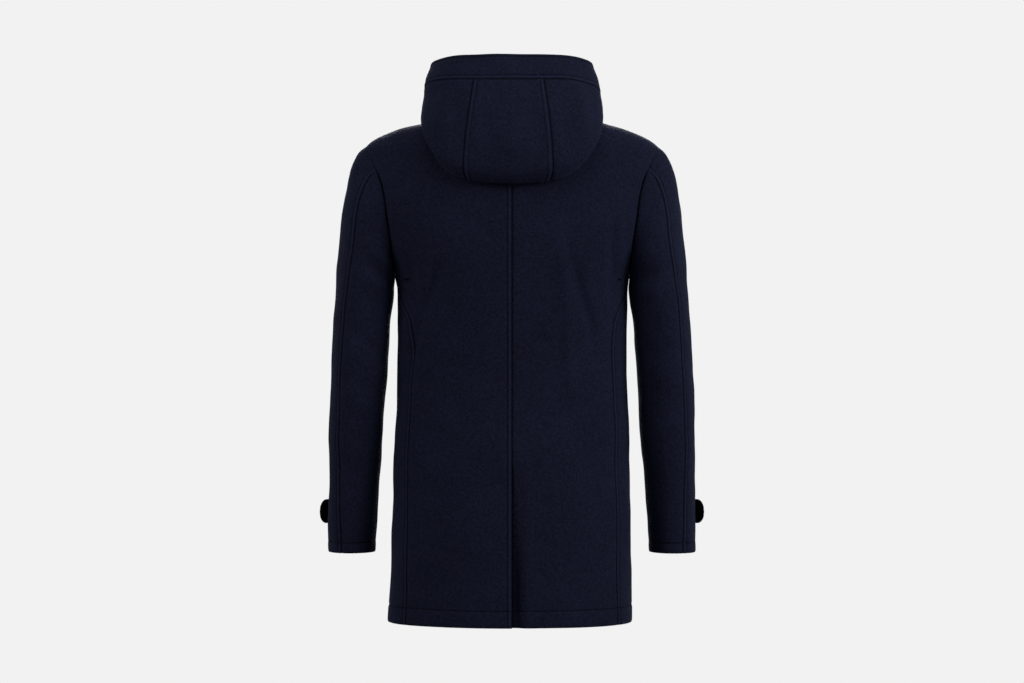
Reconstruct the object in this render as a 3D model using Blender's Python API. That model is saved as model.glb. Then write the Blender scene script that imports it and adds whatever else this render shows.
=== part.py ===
"""Navy wool duffle coat, filled out with no wearer, hood down: the construction model.

Metres, +Z up. The origin is the middle of the neck at the height of the shoulder line. The coat faces -Y,
its back faces +Y, and the wearer's left is +X.

Every cloth piece starts as a flat slab cut on a grid, and is then wrapped round one of three forms: the body
(superellipse rings), the sleeves (rings that fan out of the armhole) and the hood (profiles round the neck).
"""
import bisect
import functools
import math

import bmesh
import bpy
from mathutils import Vector

CLOTH = 0.0025              # thickness of the wool cloth
SEAM_GAP = 0.0003           # air between two pieces that meet or lie on each other
RING_POWER = 2.3            # superellipse power of the body's rings
SLEEVE_POWER = 2.1          # superellipse power of the sleeves' rings
HEM_Z = -0.803
CUFF_Z = -0.693

NAVY = (0.012, 0.014, 0.030)
DARK_NAVY = (0.006, 0.007, 0.014)
LEATHER_BROWN = (0.050, 0.022, 0.010)
CORD_DARK = (0.010, 0.010, 0.014)
HORN_BROWN = (0.120, 0.060, 0.028)
BUTTON_DARK = (0.012, 0.012, 0.018)

# Body rings: height, half width, depth behind the side line, depth in front of it
BODY_RINGS = (
    (0.018, 0.0850, 0.060, 0.040),
    (0.000, 0.1470, 0.078, 0.062),
    (-0.010, 0.1830, 0.086, 0.071),
    (-0.026, 0.2220, 0.096, 0.081),
    (-0.036, 0.2350, 0.101, 0.086),
    (-0.060, 0.2400, 0.110, 0.095),
    (-0.100, 0.2380, 0.119, 0.107),
    (-0.150, 0.2310, 0.124, 0.116),
    (-0.200, 0.2110, 0.124, 0.120),
    (-0.245, 0.1900, 0.120, 0.121),
    (-0.300, 0.1862, 0.115, 0.121),
    (-0.350, 0.1855, 0.112, 0.120),
    (-0.420, 0.1866, 0.112, 0.119),
    (-0.520, 0.1900, 0.119, 0.122),
    (-0.620, 0.1932, 0.127, 0.127),
    (-0.720, 0.1956, 0.133, 0.131),
    (HEM_Z, 0.1975, 0.137, 0.134),
)

# Neck seam: an oval seen from above, laid on the body
NECK_HALF_WIDTH = 0.085
NECK_BACK = 0.0805
NECK_FRONT = 0.0985
NECK_TOP_Z = 0.018

# Armhole: its highest and lowest points, and how far it reaches behind and in front of the side line
MITRE_SHARE = 0.8
ARMHOLE_TOP_Z = -0.036
ARMHOLE_LOW_Z = -0.245
ARMHOLE_BACK = 0.072
ARMHOLE_FRONT = 0.074
SLEEVE_BACK_TURN = 53.0     # where the sleeve's back seam starts
SLEEVE_FRONT_TURN = -135.0  # where the sleeve's front seam starts

# Side seam, set well behind the side: height, angle from the centre back in degrees
SIDE_SEAM = (
    (ARMHOLE_LOW_Z, 90.0),
    (-0.265, 81.5),
    (-0.285, 71.5),
    (-0.310, 61.5),
    (-0.350, 57.2),
    (-0.420, 58.3),
    (-0.600, 57.5),
    (HEM_Z, 56.3),
)

# Outer and inner edge of the sleeve: height, distance from the middle
SLEEVE_OUTER = (
    (-0.036, 0.2350), (-0.042, 0.2430), (-0.058, 0.2540), (-0.075, 0.2610), (-0.107, 0.2680), (-0.155, 0.2735),
    (-0.204, 0.2786), (-0.253, 0.2832), (-0.285, 0.2865), (-0.350, 0.2900), (-0.447, 0.2948), (-0.544, 0.2978),
    (-0.610, 0.2982), (CUFF_Z, 0.2966),
)
SLEEVE_INNER = (
    (-0.245, 0.1900), (-0.265, 0.1902), (-0.285, 0.1912), (-0.3175, 0.1960), (-0.350, 0.1978), (-0.447, 0.2057),
    (-0.544, 0.2120), (-0.610, 0.2170), (CUFF_Z, 0.2218),
)
# Down the sleeve: length (0 armhole, 1 where the rings lie flat, 2 cuff), half depth, how far forward it hangs,
# and how far the back seam turns from where it starts
SLEEVE_RINGS = (
    (0.00, 0.0730, 0.001, 0.0),
    (0.30, 0.0760, 0.001, 5.0),
    (0.60, 0.0770, 0.001, 10.0),
    (1.00, 0.0750, 0.002, 5.5),
    (1.40, 0.0680, 0.008, 2.0),
    (1.63, 0.0630, 0.013, 5.0),
    (1.80, 0.0595, 0.017, 10.0),
    (2.00, 0.0555, 0.022, 14.0),
)
FAN_LOW_Z = -0.285          # the rings lie flat from here down
FAN_POWER = 1.5             # the rings crowd towards the armhole

# Hood, worn down, by angle round the neck from the centre back: where its lowest fold lies over the body
# (angle on the body, height) and where its rim stands (distance from the middle, depth, height)
HOOD_PROFILES = (
    (0.0, 0.0, -0.0990, 0.0000, 0.1100, 0.1025),
    (20.0, 12.2, -0.0924, 0.0470, 0.1065, 0.1025),
    (38.0, 22.8, -0.0732, 0.0860, 0.0920, 0.1023),
    (54.0, 30.8, -0.0429, 0.1120, 0.0660, 0.1000),
    (66.0, 39.5, -0.0216, 0.1250, 0.0430, 0.0955),
    (75.0, 53.0, -0.0080, 0.1290, 0.0250, 0.0890),
    (84.0, 72.0, -0.0010, 0.1310, 0.0050, 0.0800),
    (93.0, 92.0, 0.0015, 0.1315, -0.0140, 0.0700),
    (103.0, 114.0, 0.0040, 0.1270, -0.0360, 0.0560),
    (116.0, 139.0, -0.0035, 0.1130, -0.0620, 0.0350),
    (130.0, 155.5, -0.0170, 0.0930, -0.0840, 0.0130),
    (146.0, 167.0, -0.0470, 0.0650, -0.1010, -0.0100),
    (162.0, 173.7, -0.0770, 0.0360, -0.1120, -0.0300),
    (178.0, 178.6, -0.0880, 0.0080, -0.1170, -0.0420),
)
HOOD_END_ANGLE = 176.0      # both ends stop just short of the centre front
HOOD_SEAM_LEFT = 22.5       # seams of the centre panel, degrees to each side of the centre back
HOOD_SEAM_RIGHT = 18.5
FOOT_LIFT = 0.0018          # height of the hood's neck seam over the body's neck edge
HOOD_LIFT = 0.006           # height of the hood's hidden layer over the back
BAND_SHARE = 0.75           # most of the hood's outer layer that the band takes
# The bag, by angle round the neck: how far it stands out over its fold, and the fold's height over the body
HOOD_FULLNESS = (
    (0.0, 0.046, 0.014),
    (45.0, 0.036, 0.013),
    (70.0, 0.022, 0.011),
    (90.0, 0.016, 0.009),
    (120.0, 0.018, 0.010),
    (178.0, 0.014, 0.010),
)
BAND_WIDTH = 0.044
BAND_WIDER_RIGHT = 0.009    # the band is wider round the wearer's right side

FRONT_OVERLAP = 0.032       # each front goes this far past the middle
FRONT_STEP = 0.0042         # the right front dips this far to pass under the left one
VENT_TOP_Z = -0.567
VENT_DROP = 0.009           # the inner end of the underlap's slanted top is lower than the outer end
VENT_WIDTH = 0.040
VENT_STEP = 0.0040          # how far the lower layer of the vent lies in, at its top and at the hem
VENT_STEP_HEM = 0.0085

CUFF_TAB_WIDTH = 0.039
CUFF_TAB_Z = -0.629
CUFF_TAB_START = -122.0     # the strap runs round the sleeve between these turns, then stands off straight
CUFF_TAB_LEAVES = -40.0
CUFF_TAB_TAIL = 0.043
CUFF_TAB_THICK = 0.0022
BUTTON_RADIUS = 0.0105
BUTTON_THICK = 0.0036

TOGGLE_HEIGHTS = (-0.135, -0.270, -0.405)
TOGGLE_LENGTH = 0.052
TOGGLE_RADIUS = 0.0065
TOGGLE_WAIST = 0.0042
TOGGLE_X = -0.042
TOGGLE_RISE = 0.0150        # the toggle's axis stands this far off the left front
CORD_RADIUS = 0.0019
CORD_RISE = 0.0029          # a cord's axis over the cloth that it lies on
LOOP_HALF_GAP = 0.0115
LOOP_PATCH_START = 0.040
TOGGLE_PATCH_START = -0.092
PATCH_LENGTH = 0.046
PATCH_HALF_HEIGHT = 0.018
PATCH_THICK = 0.0018
TRIM_LIFT = 0.0010          # a strap or patch lies this far over the cloth


# ---------------------------------------------------------------- small helpers

def material(name, colour, roughness):
    made = bpy.data.materials.new(name)
    made.use_nodes = True
    shader = made.node_tree.nodes["Principled BSDF"]
    shader.inputs["Base Color"].default_value = (*colour, 1.0)
    shader.inputs["Roughness"].default_value = roughness
    return made


def add_object(name, mesh, finish):
    mesh.materials.append(finish)
    made = bpy.data.objects.new(name, mesh)
    bpy.context.scene.collection.objects.link(made)
    return made


def smooth_through(rows, column=1):
    """A smooth function through a table's rows, of its first column."""
    ordered = sorted(rows)
    knots = [row[0] for row in ordered]
    values = [row[column] for row in ordered]
    steps = [b - a for a, b in zip(knots, knots[1:])]
    slopes = [(b - a) / step for a, b, step in zip(values, values[1:], steps)]
    inner = [(slopes[k] * steps[k + 1] + slopes[k + 1] * steps[k]) / (steps[k] + steps[k + 1])
             for k in range(len(steps) - 1)]
    tangents = [slopes[0]] + inner + [slopes[-1]]

    def value(at):
        k = min(max(bisect.bisect_right(knots, at) - 1, 0), len(steps) - 1)
        step = steps[k]
        part = (at - knots[k]) / step
        part = min(max(part, 0.0), 1.0)
        square, cube = part ** 2, part ** 3
        return ((2 * cube - 3 * square + 1) * values[k] + (cube - 2 * square + part) * step * tangents[k]
                + (3 * square - 2 * cube) * values[k + 1] + (cube - square) * step * tangents[k + 1])

    return value


def mix(first, second, part):
    return first + (second - first) * part


def ease(low, high, at):
    """0 below low, 1 above high, and a soft step between."""
    part = min(max((at - low) / (high - low), 0.0), 1.0)
    return part * part * (3.0 - 2.0 * part)


def signed_power(value, power):
    return math.copysign(abs(value) ** power, value)


def even(count, start=0.0, end=1.0):
    return [mix(start, end, k / count) for k in range(count + 1)]


# ---------------------------------------------------------------- the body form

half_width = smooth_through(BODY_RINGS, 1)
back_depth = smooth_through(BODY_RINGS, 2)
front_depth = smooth_through(BODY_RINGS, 3)
side_seam_angle = smooth_through(SIDE_SEAM)


def body_point(angle, height, side=1):
    """Point of the body form; the angle runs from the centre back (0) over the side (90) to the front (180)."""
    turn = math.radians(angle)
    across = signed_power(math.sin(turn), 2.0 / RING_POWER)
    along = signed_power(math.cos(turn), 2.0 / RING_POWER)
    depth = back_depth(height) if along > 0 else front_depth(height)
    return Vector((side * half_width(height) * across, depth * along, height))


def body_depth_at(across, height, behind=True):
    """How far behind (or in front of) the side line the body form lies at this distance from the middle."""
    ratio = min(abs(across) / half_width(height), 1.0)
    depth = back_depth(height) if behind else -front_depth(height)
    return depth * (1.0 - ratio ** RING_POWER) ** (1.0 / RING_POWER)


def body_gauge(point):
    """Below 1 inside the body form, 1 on it."""
    depth = back_depth(point.z) if point.y > 0 else front_depth(point.z)
    return (abs(point.x) / half_width(point.z)) ** RING_POWER + (abs(point.y) / depth) ** RING_POWER


def body_normal(point, step=0.0004):
    slope = []
    for axis in range(3):
        shift = Vector((0.0, 0.0, 0.0))
        shift[axis] = step
        slope.append(body_gauge(point + shift) - body_gauge(point - shift))
    return Vector(slope).normalized()


def body_angle(point):
    depth = back_depth(point.z) if point.y > 0 else front_depth(point.z)
    across = min(abs(point.x) / half_width(point.z), 1.0) ** (RING_POWER / 2.0)
    along = signed_power(point.y / depth, RING_POWER / 2.0)
    return math.degrees(math.atan2(across, along))


@functools.lru_cache(maxsize=None)
def neck_spot(turn):
    """Body angle and height of the neck seam, by the turn round its oval from the centre back (0 to 180)."""
    across = NECK_HALF_WIDTH * math.sin(math.radians(turn))
    along = math.cos(math.radians(turn))
    along *= NECK_BACK if along > 0 else NECK_FRONT
    low, high = -0.120, NECK_TOP_Z
    for _ in range(40):
        middle = (low + high) / 2.0
        if body_gauge(Vector((across, along, middle))) < 1.0:
            low = middle
        else:
            high = middle
    angle = body_angle(Vector((abs(across), along, low)))
    return (angle if across >= 0.0 else 360.0 - angle), low


def armhole_point(turn, side=1):
    """Point of the armhole seam; the turn runs from its top (0) over the back (90) to the underarm (180)."""
    height = mix(ARMHOLE_LOW_Z, ARMHOLE_TOP_Z, (1.0 + math.cos(math.radians(turn))) / 2.0)
    reach = math.sin(math.radians(turn)) * (ARMHOLE_BACK if turn > 0 else ARMHOLE_FRONT)
    depth = back_depth(height) if reach > 0 else front_depth(height)
    across = half_width(height) * (1.0 - (abs(reach) / depth) ** RING_POWER) ** (1.0 / RING_POWER)
    return Vector((side * across, reach, height))


def armhole_axis(side=1):
    lean = armhole_point(0.0) - armhole_point(180.0)
    return Vector((side * lean.z, 0.0, -lean.x)).normalized()


def armhole_wall(turn, side=1):
    """At the armhole both walls are cut along this direction: a mitre where the body stands square to the sleeve."""
    middle = (armhole_point(0.0, side) + armhole_point(180.0, side)) / 2.0
    here = armhole_point(turn, side)
    out = here - middle
    axis = armhole_axis(side)
    square = body_normal(here).dot(axis)
    return (out - axis * out.dot(axis)).normalized() + axis * MITRE_SHARE * square * square


# ---------------------------------------------------------------- cloth pieces

def cloth_piece(name, finish, across, down, place, thick=CLOTH, cut_step=None):
    """A flat slab of cloth on a grid, wrapped on its form.

    across and down list the grid's own coordinates; place(a, d) gives the outside point and the direction of
    the wall there. Each border steps back half a seam gap. Where two pieces meet at a sharp angle,
    cut_step(a, d) gives that step and says whether it takes the place of the border's own.
    """
    wide, tall = len(across) - 1, len(down) - 1
    shaped = bmesh.new()
    bmesh.ops.create_grid(shaped, x_segments=wide, y_segments=tall, size=0.5)
    slab = bmesh.ops.extrude_face_region(shaped, geom=shaped.faces[:], use_keep_orig=True)
    inner_layer = [item for item in slab["geom"] if isinstance(item, bmesh.types.BMVert)]
    bmesh.ops.translate(shaped, vec=(0.0, 0.0, -1.0), verts=inner_layer)

    outside, wall = {}, {}
    for i, a in enumerate(across):
        for j, d in enumerate(down):
            outside[i, j], wall[i, j] = place(a, d)
    stepped = {}
    for (i, j), point in outside.items():
        sharp, instead_of = cut_step(across[i], down[j]) if cut_step else (Vector((0.0, 0.0, 0.0)), None)
        step = sharp
        for border, here, last, near in (("across", i, wide, (1, 0)), ("down", j, tall, (0, 1))):
            if here in (0, last) and border != instead_of:
                way = 1 if here == 0 else -1
                inward = outside[i + way * near[0], j + way * near[1]] - point
                before = outside[max(i - near[1], 0), max(j - near[0], 0)]
                after = outside[min(i + near[1], wide), min(j + near[0], tall)]
                across_border = wall[i, j].cross(after - before).normalized()
                step = step + across_border * math.copysign(SEAM_GAP / 2.0, across_border.dot(inward))
        stepped[i, j] = point + step
    spot, plain = {}, {}
    for vert in shaped.verts:
        i = round((vert.co.x + 0.5) * wide)
        j = round((vert.co.y + 0.5) * tall)
        inner = vert.co.z < -0.5
        spot[vert] = (i, j, inner)
        depth = wall[i, j] * (thick if inner else 0.0)
        plain[i, j, inner] = outside[i, j] - depth
        vert.co = stepped[i, j] - depth
    split_across_short(shaped, spot, plain)
    if shaped.calc_volume(signed=True) < 0.0:
        bmesh.ops.reverse_faces(shaped, faces=shaped.faces[:])
    mesh = bpy.data.meshes.new(name)
    shaped.to_mesh(mesh)
    shaped.free()
    mesh.shade_smooth()
    return add_object(name, mesh, finish)


def split_across_short(shaped, spot, plain):
    """Cut every square along its shorter diagonal: both layers alike, and a border as its neighbour's is cut."""
    for face in shaped.faces[:]:
        corners = {spot[vert]: vert for vert in face.verts}
        places = sorted({(i, j) for i, j, _ in corners})
        low_i, low_j = places[0]
        if len(places) == 4:
            inner = spot[face.verts[0]][2]
            rising = ((low_i, low_j, inner), (low_i + 1, low_j + 1, inner))
            falling = ((low_i + 1, low_j, inner), (low_i, low_j + 1, inner))
        else:
            rising = ((*places[0], False), (*places[1], True))
            falling = ((*places[0], True), (*places[1], False))
        lengths = []
        for one, other in (rising, falling):
            if len(places) == 4:
                one, other = (*one[:2], False), (*other[:2], False)
            lengths.append((plain[one] - plain[other]).length)
        ends = rising if lengths[0] < lengths[1] else falling
        bmesh.utils.face_split(face, corners[ends[0]], corners[ends[1]])


# Rows of a body panel: 0 at the neck, 1 at the armhole's top, 2 at its foot, 3 at the hem
SHOULDER_ROWS = (0.0, 0.2, 0.42, 0.68, 1.0)
SIDE_ROWS = (2.0, 2.05, 2.10, 2.16, 2.25, 2.38, 2.52, 2.68, 2.84, 3.0)
BACK_TURNS = (18.0, 36.0, SLEEVE_BACK_TURN, 70.0, 88.0, 106.0, 124.0, 144.0, 162.0, 180.0)
FRONT_TURNS = (-18.0, -36.0, -54.0, -72.0, -92.0, -113.0, SLEEVE_FRONT_TURN, -158.0, -180.0)


def armhole_turn(row, turns):
    full = [0.0, *turns]
    return full[round((row - 1.0) * len(turns))]


def outer_border(row, turns):
    """Border of a body panel away from the middle: shoulder seam, armhole, side seam. Gives angle, height."""
    if row <= 1.0:
        return 90.0, mix(NECK_TOP_Z, ARMHOLE_TOP_Z, row)
    if row <= 2.0:
        point = armhole_point(armhole_turn(row, turns))
        return body_angle(point), point.z
    height = mix(ARMHOLE_LOW_Z, HEM_Z, row - 2.0)
    return side_seam_angle(height), height


def panel_rows(turns):
    return [*SHOULDER_ROWS, *[1.0 + (k + 1) / len(turns) for k in range(len(turns))], *SIDE_ROWS[1:]]


# Height of a panel's rows at its middle edge, below the neck
middle_back_height = smooth_through(((1.0, -0.055), (2.0, -0.272), (2.5, -0.530), (3.0, HEM_Z)))
middle_front_height = smooth_through(((1.0, -0.108), (2.0, -0.278), (2.5, -0.530), (3.0, HEM_Z)))
# Rows climb to the border within this many degrees, and bend away from the armhole at its top and foot
ROW_RISE_ANGLE = 67.5
row_bend = smooth_through(((1.0, 0.012), (1.5, 0.0), (1.8, 0.0), (2.0, -0.007), (2.2, 0.0), (3.0, 0.0)))
LAP_PART = 0.09


def spread(part, start, end):
    """Turn at this part of a row's width. A front's first column is its lap past the centre."""
    if start < 180.0:
        return mix(start, end, part)
    if part < LAP_PART:
        return mix(start, 180.0, part / LAP_PART)
    return mix(180.0, end, (part - LAP_PART) / (1.0 - LAP_PART))


def row_spot(part, row, start, turns, middle_height):
    """Body angle and height at this part of a row's width, from start, the middle edge's angle, to the border."""
    border_angle, border_height = outer_border(row, turns)
    angle = spread(part, start, border_angle)
    if start < 180.0:
        inside, whole = angle, border_angle
    else:
        inside, whole = max(180.0 - angle, 0.0), 180.0 - border_angle
    rise = ease(0.0, ROW_RISE_ANGLE, inside) / ease(0.0, ROW_RISE_ANGLE, whole)
    bend = row_bend(row) * math.sin(math.pi * (inside / whole) ** 3)
    return angle, mix(middle_height(row), border_height, rise) + bend


def panel_spot(part, row, start, neck_start, turns, middle_height):
    """As row_spot, but the rows above the armhole run over to the neck's oval."""
    if row >= 1.0:
        return row_spot(part, row, start, turns, middle_height)
    low = row_spot(part, 1.0, start, turns, middle_height)
    neck = neck_spot(spread(part, neck_start, 90.0))
    return mix(neck[0], low[0], row), mix(neck[1], low[1], row)


def vent_step(height):
    """How far in the vent's lower layer lies: nothing above the vent, most at the hem."""
    started = ease(0.0, 0.030, VENT_TOP_Z + 0.030 - height)
    return started * mix(VENT_STEP, VENT_STEP_HEM, ease(0.0, VENT_TOP_Z - HEM_Z, VENT_TOP_Z - height))


def back_place(side):
    def place(part, row):
        angle, height = panel_spot(part, row, 0.0, 0.0, BACK_TURNS, middle_back_height)
        point = body_point(angle, height, side)
        wall = body_normal(point)
        if side < 0:
            point = point - wall * vent_step(point.z) * (1.0 - ease(0.002, 0.026, abs(point.x)))
        if part == 1.0 and 1.0 <= row <= 2.0:
            wall = armhole_wall(armhole_turn(row, BACK_TURNS), side)
        return point, wall
    return place


def front_place(side):
    def place(part, row):
        width = half_width(middle_front_height(max(row, 1.0)))
        past = math.degrees(math.asin((FRONT_OVERLAP / width) ** (RING_POWER / 2.0)))
        neck_past = math.degrees(math.asin(FRONT_OVERLAP / NECK_HALF_WIDTH))
        angle, height = panel_spot(part, row, 180.0 + past, 180.0 + neck_past, FRONT_TURNS, middle_front_height)
        point = body_point(angle, height, side)
        wall = body_normal(point)
        if side < 0:
            own = side * point.x
            point = point - wall * FRONT_STEP * (1.0 - ease(0.036, 0.062, own))
        if part == 1.0 and 1.0 <= row <= 2.0:
            wall = armhole_wall(armhole_turn(row, FRONT_TURNS), side)
        return point, wall
    return place


def body_cut_step(side, backward):
    """Along the armhole a panel steps back from the sleeve, and at its ends from the other panel too."""
    def cut_step(part, row):
        if part == 1.0 and 1.0 <= row <= 2.0:
            seam_step = backward * SEAM_GAP / 2.0 if row in (1.0, 2.0) else 0.0
            return armhole_axis(side) * -SEAM_GAP / 2.0 + Vector((0.0, seam_step, 0.0)), "across"
        return Vector((0.0, 0.0, 0.0)), None
    return cut_step


def make_body(finish):
    back_columns = even(7)
    front_columns = [0.0, LAP_PART, 0.18, 0.30, 0.44, 0.58, 0.71, 0.82, 0.92, 1.0]
    for side, word in ((1, "left"), (-1, "right")):
        cloth_piece("back_" + word, finish, back_columns, panel_rows(BACK_TURNS), back_place(side),
                    cut_step=body_cut_step(side, 1))
        cloth_piece("front_" + word, finish, front_columns, panel_rows(FRONT_TURNS), front_place(side),
                    cut_step=body_cut_step(side, -1))
    cloth_piece("vent_underlap", finish, even(3), even(6), underlap_place)


def underlap_place(part, row):
    """The strip behind the vent's edge, level with the lower layer of the right back."""
    across = mix(0.0, VENT_WIDTH, part)
    top = VENT_TOP_Z - 0.012 - VENT_DROP * part
    height = mix(top, HEM_Z, row)
    point = Vector((across, body_depth_at(across, height), height))
    wall = body_normal(point)
    return point - wall * vent_step(height), wall


# ---------------------------------------------------------------- sleeves

sleeve_outer = smooth_through(SLEEVE_OUTER)
sleeve_inner = smooth_through(SLEEVE_INNER)
sleeve_half_depth = smooth_through(SLEEVE_RINGS, 1)
sleeve_forward = smooth_through(SLEEVE_RINGS, 2)
back_seam_shift = smooth_through(SLEEVE_RINGS, 3)

TOP_TURNS = (SLEEVE_FRONT_TURN, -113.0, -92.0, -72.0, -54.0, -36.0, -18.0, 0.0, 18.0, 36.0, SLEEVE_BACK_TURN)
UNDER_TURNS = (SLEEVE_BACK_TURN, 70.0, 88.0, 106.0, 124.0, 144.0, 162.0, 180.0, 202.0, 225.0)
SLEEVE_LENGTHS = (0.0, 0.08, 0.18, 0.30, 0.42, 0.55, 0.70, 0.85, 1.0, 1.12, 1.25, 1.38, 1.52, 1.66, 1.78, 1.90, 2.0)


def sleeve_edge_heights(length):
    if length <= 1.0:
        fan = length ** FAN_POWER
        return mix(ARMHOLE_TOP_Z, FAN_LOW_Z, fan), mix(ARMHOLE_LOW_Z, FAN_LOW_Z, length)
    level = mix(FAN_LOW_Z, CUFF_Z, length - 1.0)
    return level, level


def sleeve_turn(turn, length):
    """The grid's lines follow the back seam as it turns down the sleeve."""
    weight = ease(-60.0, SLEEVE_BACK_TURN, turn) - ease(SLEEVE_BACK_TURN, 180.0, turn)
    return turn + back_seam_shift(length) * weight


def sleeve_point(turn, length, side=1):
    high, low = sleeve_edge_heights(length)
    outer = Vector((sleeve_outer(high), -sleeve_forward(length), high))
    inner = Vector((sleeve_inner(low), -sleeve_forward(length), low))
    angle = math.radians(sleeve_turn(turn, length))
    along = signed_power(math.cos(angle), 2.0 / SLEEVE_POWER)
    across = signed_power(math.sin(angle), 2.0 / SLEEVE_POWER)
    point = (outer + inner) / 2.0 + (outer - inner) / 2.0 * along
    point.y += sleeve_half_depth(length) * across
    if length < 1.0:
        wrapped = turn - 360.0 if turn > 180.0 else turn
        start_outer = Vector((sleeve_outer(ARMHOLE_TOP_Z), -sleeve_forward(0.0), ARMHOLE_TOP_Z))
        start_inner = Vector((sleeve_inner(ARMHOLE_LOW_Z), -sleeve_forward(0.0), ARMHOLE_LOW_Z))
        flat = math.radians(turn)
        start = (start_outer + start_inner) / 2.0
        start += (start_outer - start_inner) / 2.0 * signed_power(math.cos(flat), 2.0 / SLEEVE_POWER)
        start.y += sleeve_half_depth(0.0) * signed_power(math.sin(flat), 2.0 / SLEEVE_POWER)
        point += (armhole_point(wrapped) - start) * (1.0 - length) ** 2
    point.x *= side
    return point


def sleeve_normal(turn, length, side=1):
    around = sleeve_point(turn + 2.0, length, side) - sleeve_point(turn - 2.0, length, side)
    low = max(length - 0.01, 0.0)
    high = min(length + 0.01, 2.0)
    along = sleeve_point(turn, high, side) - sleeve_point(turn, low, side)
    return (along.cross(around) * side).normalized()


def sleeve_place(side):
    def place(turn, length):
        if length == 0.0:
            wrapped = turn - 360.0 if turn > 180.0 else turn
            return armhole_point(wrapped, side), armhole_wall(wrapped, side)
        return sleeve_point(turn, length, side), sleeve_normal(turn, length, side)
    return place


def sleeve_cut_step(side):
    def cut_step(turn, length):
        if length == 0.0:
            return armhole_axis(side) * SEAM_GAP / 2.0, "down"
        return Vector((0.0, 0.0, 0.0)), None
    return cut_step


def make_sleeves(finish):
    for side, word in ((1, "left"), (-1, "right")):
        for part, turns in (("top", TOP_TURNS), ("under", UNDER_TURNS)):
            cloth_piece("sleeve_" + part + "_" + word, finish, turns, SLEEVE_LENGTHS, sleeve_place(side),
                        cut_step=sleeve_cut_step(side))


# ---------------------------------------------------------------- hood

fold_angle = smooth_through(HOOD_PROFILES, 1)
fold_height = smooth_through(HOOD_PROFILES, 2)
rim_across = smooth_through(HOOD_PROFILES, 3)
rim_depth = smooth_through(HOOD_PROFILES, 4)
rim_height = smooth_through(HOOD_PROFILES, 5)
hood_fullness = smooth_through(HOOD_FULLNESS)
fold_lift = smooth_through(HOOD_FULLNESS, 2)


def hood_knots(angle):
    """Points that one profile of the hood passes: five over the body down to the fold, five up to the rim."""
    knots = []
    neck_angle, neck_height = neck_spot(angle)
    for part, lift in ((0.0, FOOT_LIFT), (0.16, 0.0050), (0.50, HOOD_LIFT), (0.86, HOOD_LIFT), (1.0, fold_lift(angle))):
        here = body_point(mix(neck_angle, fold_angle(angle), part), mix(neck_height, fold_height(angle), part))
        knots.append(here + body_normal(here) * lift)
    fold = knots[-1]
    rim = Vector((rim_across(angle), rim_depth(angle), rim_height(angle)))
    out = Vector((math.sin(math.radians(angle)), math.cos(math.radians(angle)), 0.0)) * hood_fullness(angle)
    first = fold + out
    second = mix(fold, rim, 0.66) + out * 0.55
    for part in (0.18, 0.38, 0.60, 0.80, 1.0):
        rest = 1.0 - part
        knots.append(fold * rest ** 3 + first * 3 * rest ** 2 * part + second * 3 * rest * part ** 2 + rim * part ** 3)
    return knots


def hood_curve(angle, side):
    """One profile as a smooth curve by length, the length at its fold, and its whole length."""
    knots = hood_knots(angle)
    reached = [0.0]
    for a, b in zip(knots, knots[1:]):
        reached.append(reached[-1] + (b - a).length)
    curves = [smooth_through([(r, k[axis]) for r, k in zip(reached, knots)]) for axis in range(3)]

    def at(length):
        return Vector((side * curves[0](length), curves[1](length), curves[2](length)))

    return at, reached[4], reached[-1]


def band_width(angle, side, room):
    """The band's width here, narrower where the hood has little room over its fold."""
    wanted = BAND_WIDTH + (BAND_WIDER_RIGHT * ease(30.0, 75.0, angle) if side < 0 else 0.0)
    return wanted / (1.0 + (wanted / (BAND_SHARE * room)) ** 6) ** (1.0 / 6.0)


def hood_point(signed_angle, row):
    """Rows: 0 at the neck seam, 0.5 at the fold, 1 at the band's seam, 2 at the rim. Left angles are positive."""
    side = 1 if signed_angle >= 0.0 else -1
    at, fold, whole = hood_curve(abs(signed_angle), side)
    seam = whole - band_width(abs(signed_angle), side, whole - fold)
    if row <= 0.5:
        return at(fold * row * 2.0)
    if row <= 1.0:
        return at(mix(fold, seam, row * 2.0 - 1.0))
    return at(mix(seam, whole, row - 1.0))


def hood_place(signed_angle, row):
    point = hood_point(signed_angle, row)
    around = hood_point(signed_angle + 1.0, row) - hood_point(signed_angle - 1.0, row)
    along = hood_point(signed_angle, min(row + 0.01, 2.0)) - hood_point(signed_angle, max(row - 0.01, 0.0))
    return point, along.cross(around).normalized()


HOOD_ROWS = (0.0, 0.06, 0.18, 0.32, 0.42, 0.47, 0.50, 0.52, 0.55, 0.60, 0.68, 0.78, 0.89, 1.0)
BAND_ROWS = (1.0, 1.3, 1.65, 2.0)
LEFT_ANGLES = (HOOD_SEAM_LEFT, 36.0, 49.0, 61.0, 72.0, 83.0, 96.0, 113.0, 134.0, 155.0, HOOD_END_ANGLE)
RIGHT_ANGLES = (HOOD_SEAM_RIGHT, 33.0, 47.0, 60.0, 72.0, 83.0, 96.0, 113.0, 134.0, 155.0, HOOD_END_ANGLE)
CENTRE_ANGLES = (-HOOD_SEAM_RIGHT, -9.0, 2.0, 12.0, HOOD_SEAM_LEFT)


def make_hood(finish):
    right = [-angle for angle in reversed(RIGHT_ANGLES)]
    cloth_piece("hood_centre", finish, CENTRE_ANGLES, HOOD_ROWS, hood_place)
    cloth_piece("hood_side_left", finish, LEFT_ANGLES, HOOD_ROWS, hood_place)
    cloth_piece("hood_side_right", finish, right, HOOD_ROWS, hood_place)
    cloth_piece("hood_band", finish, [*right, *CENTRE_ANGLES[1:-1], *LEFT_ANGLES], BAND_ROWS, hood_place)


# ---------------------------------------------------------------- cuff straps

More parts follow.
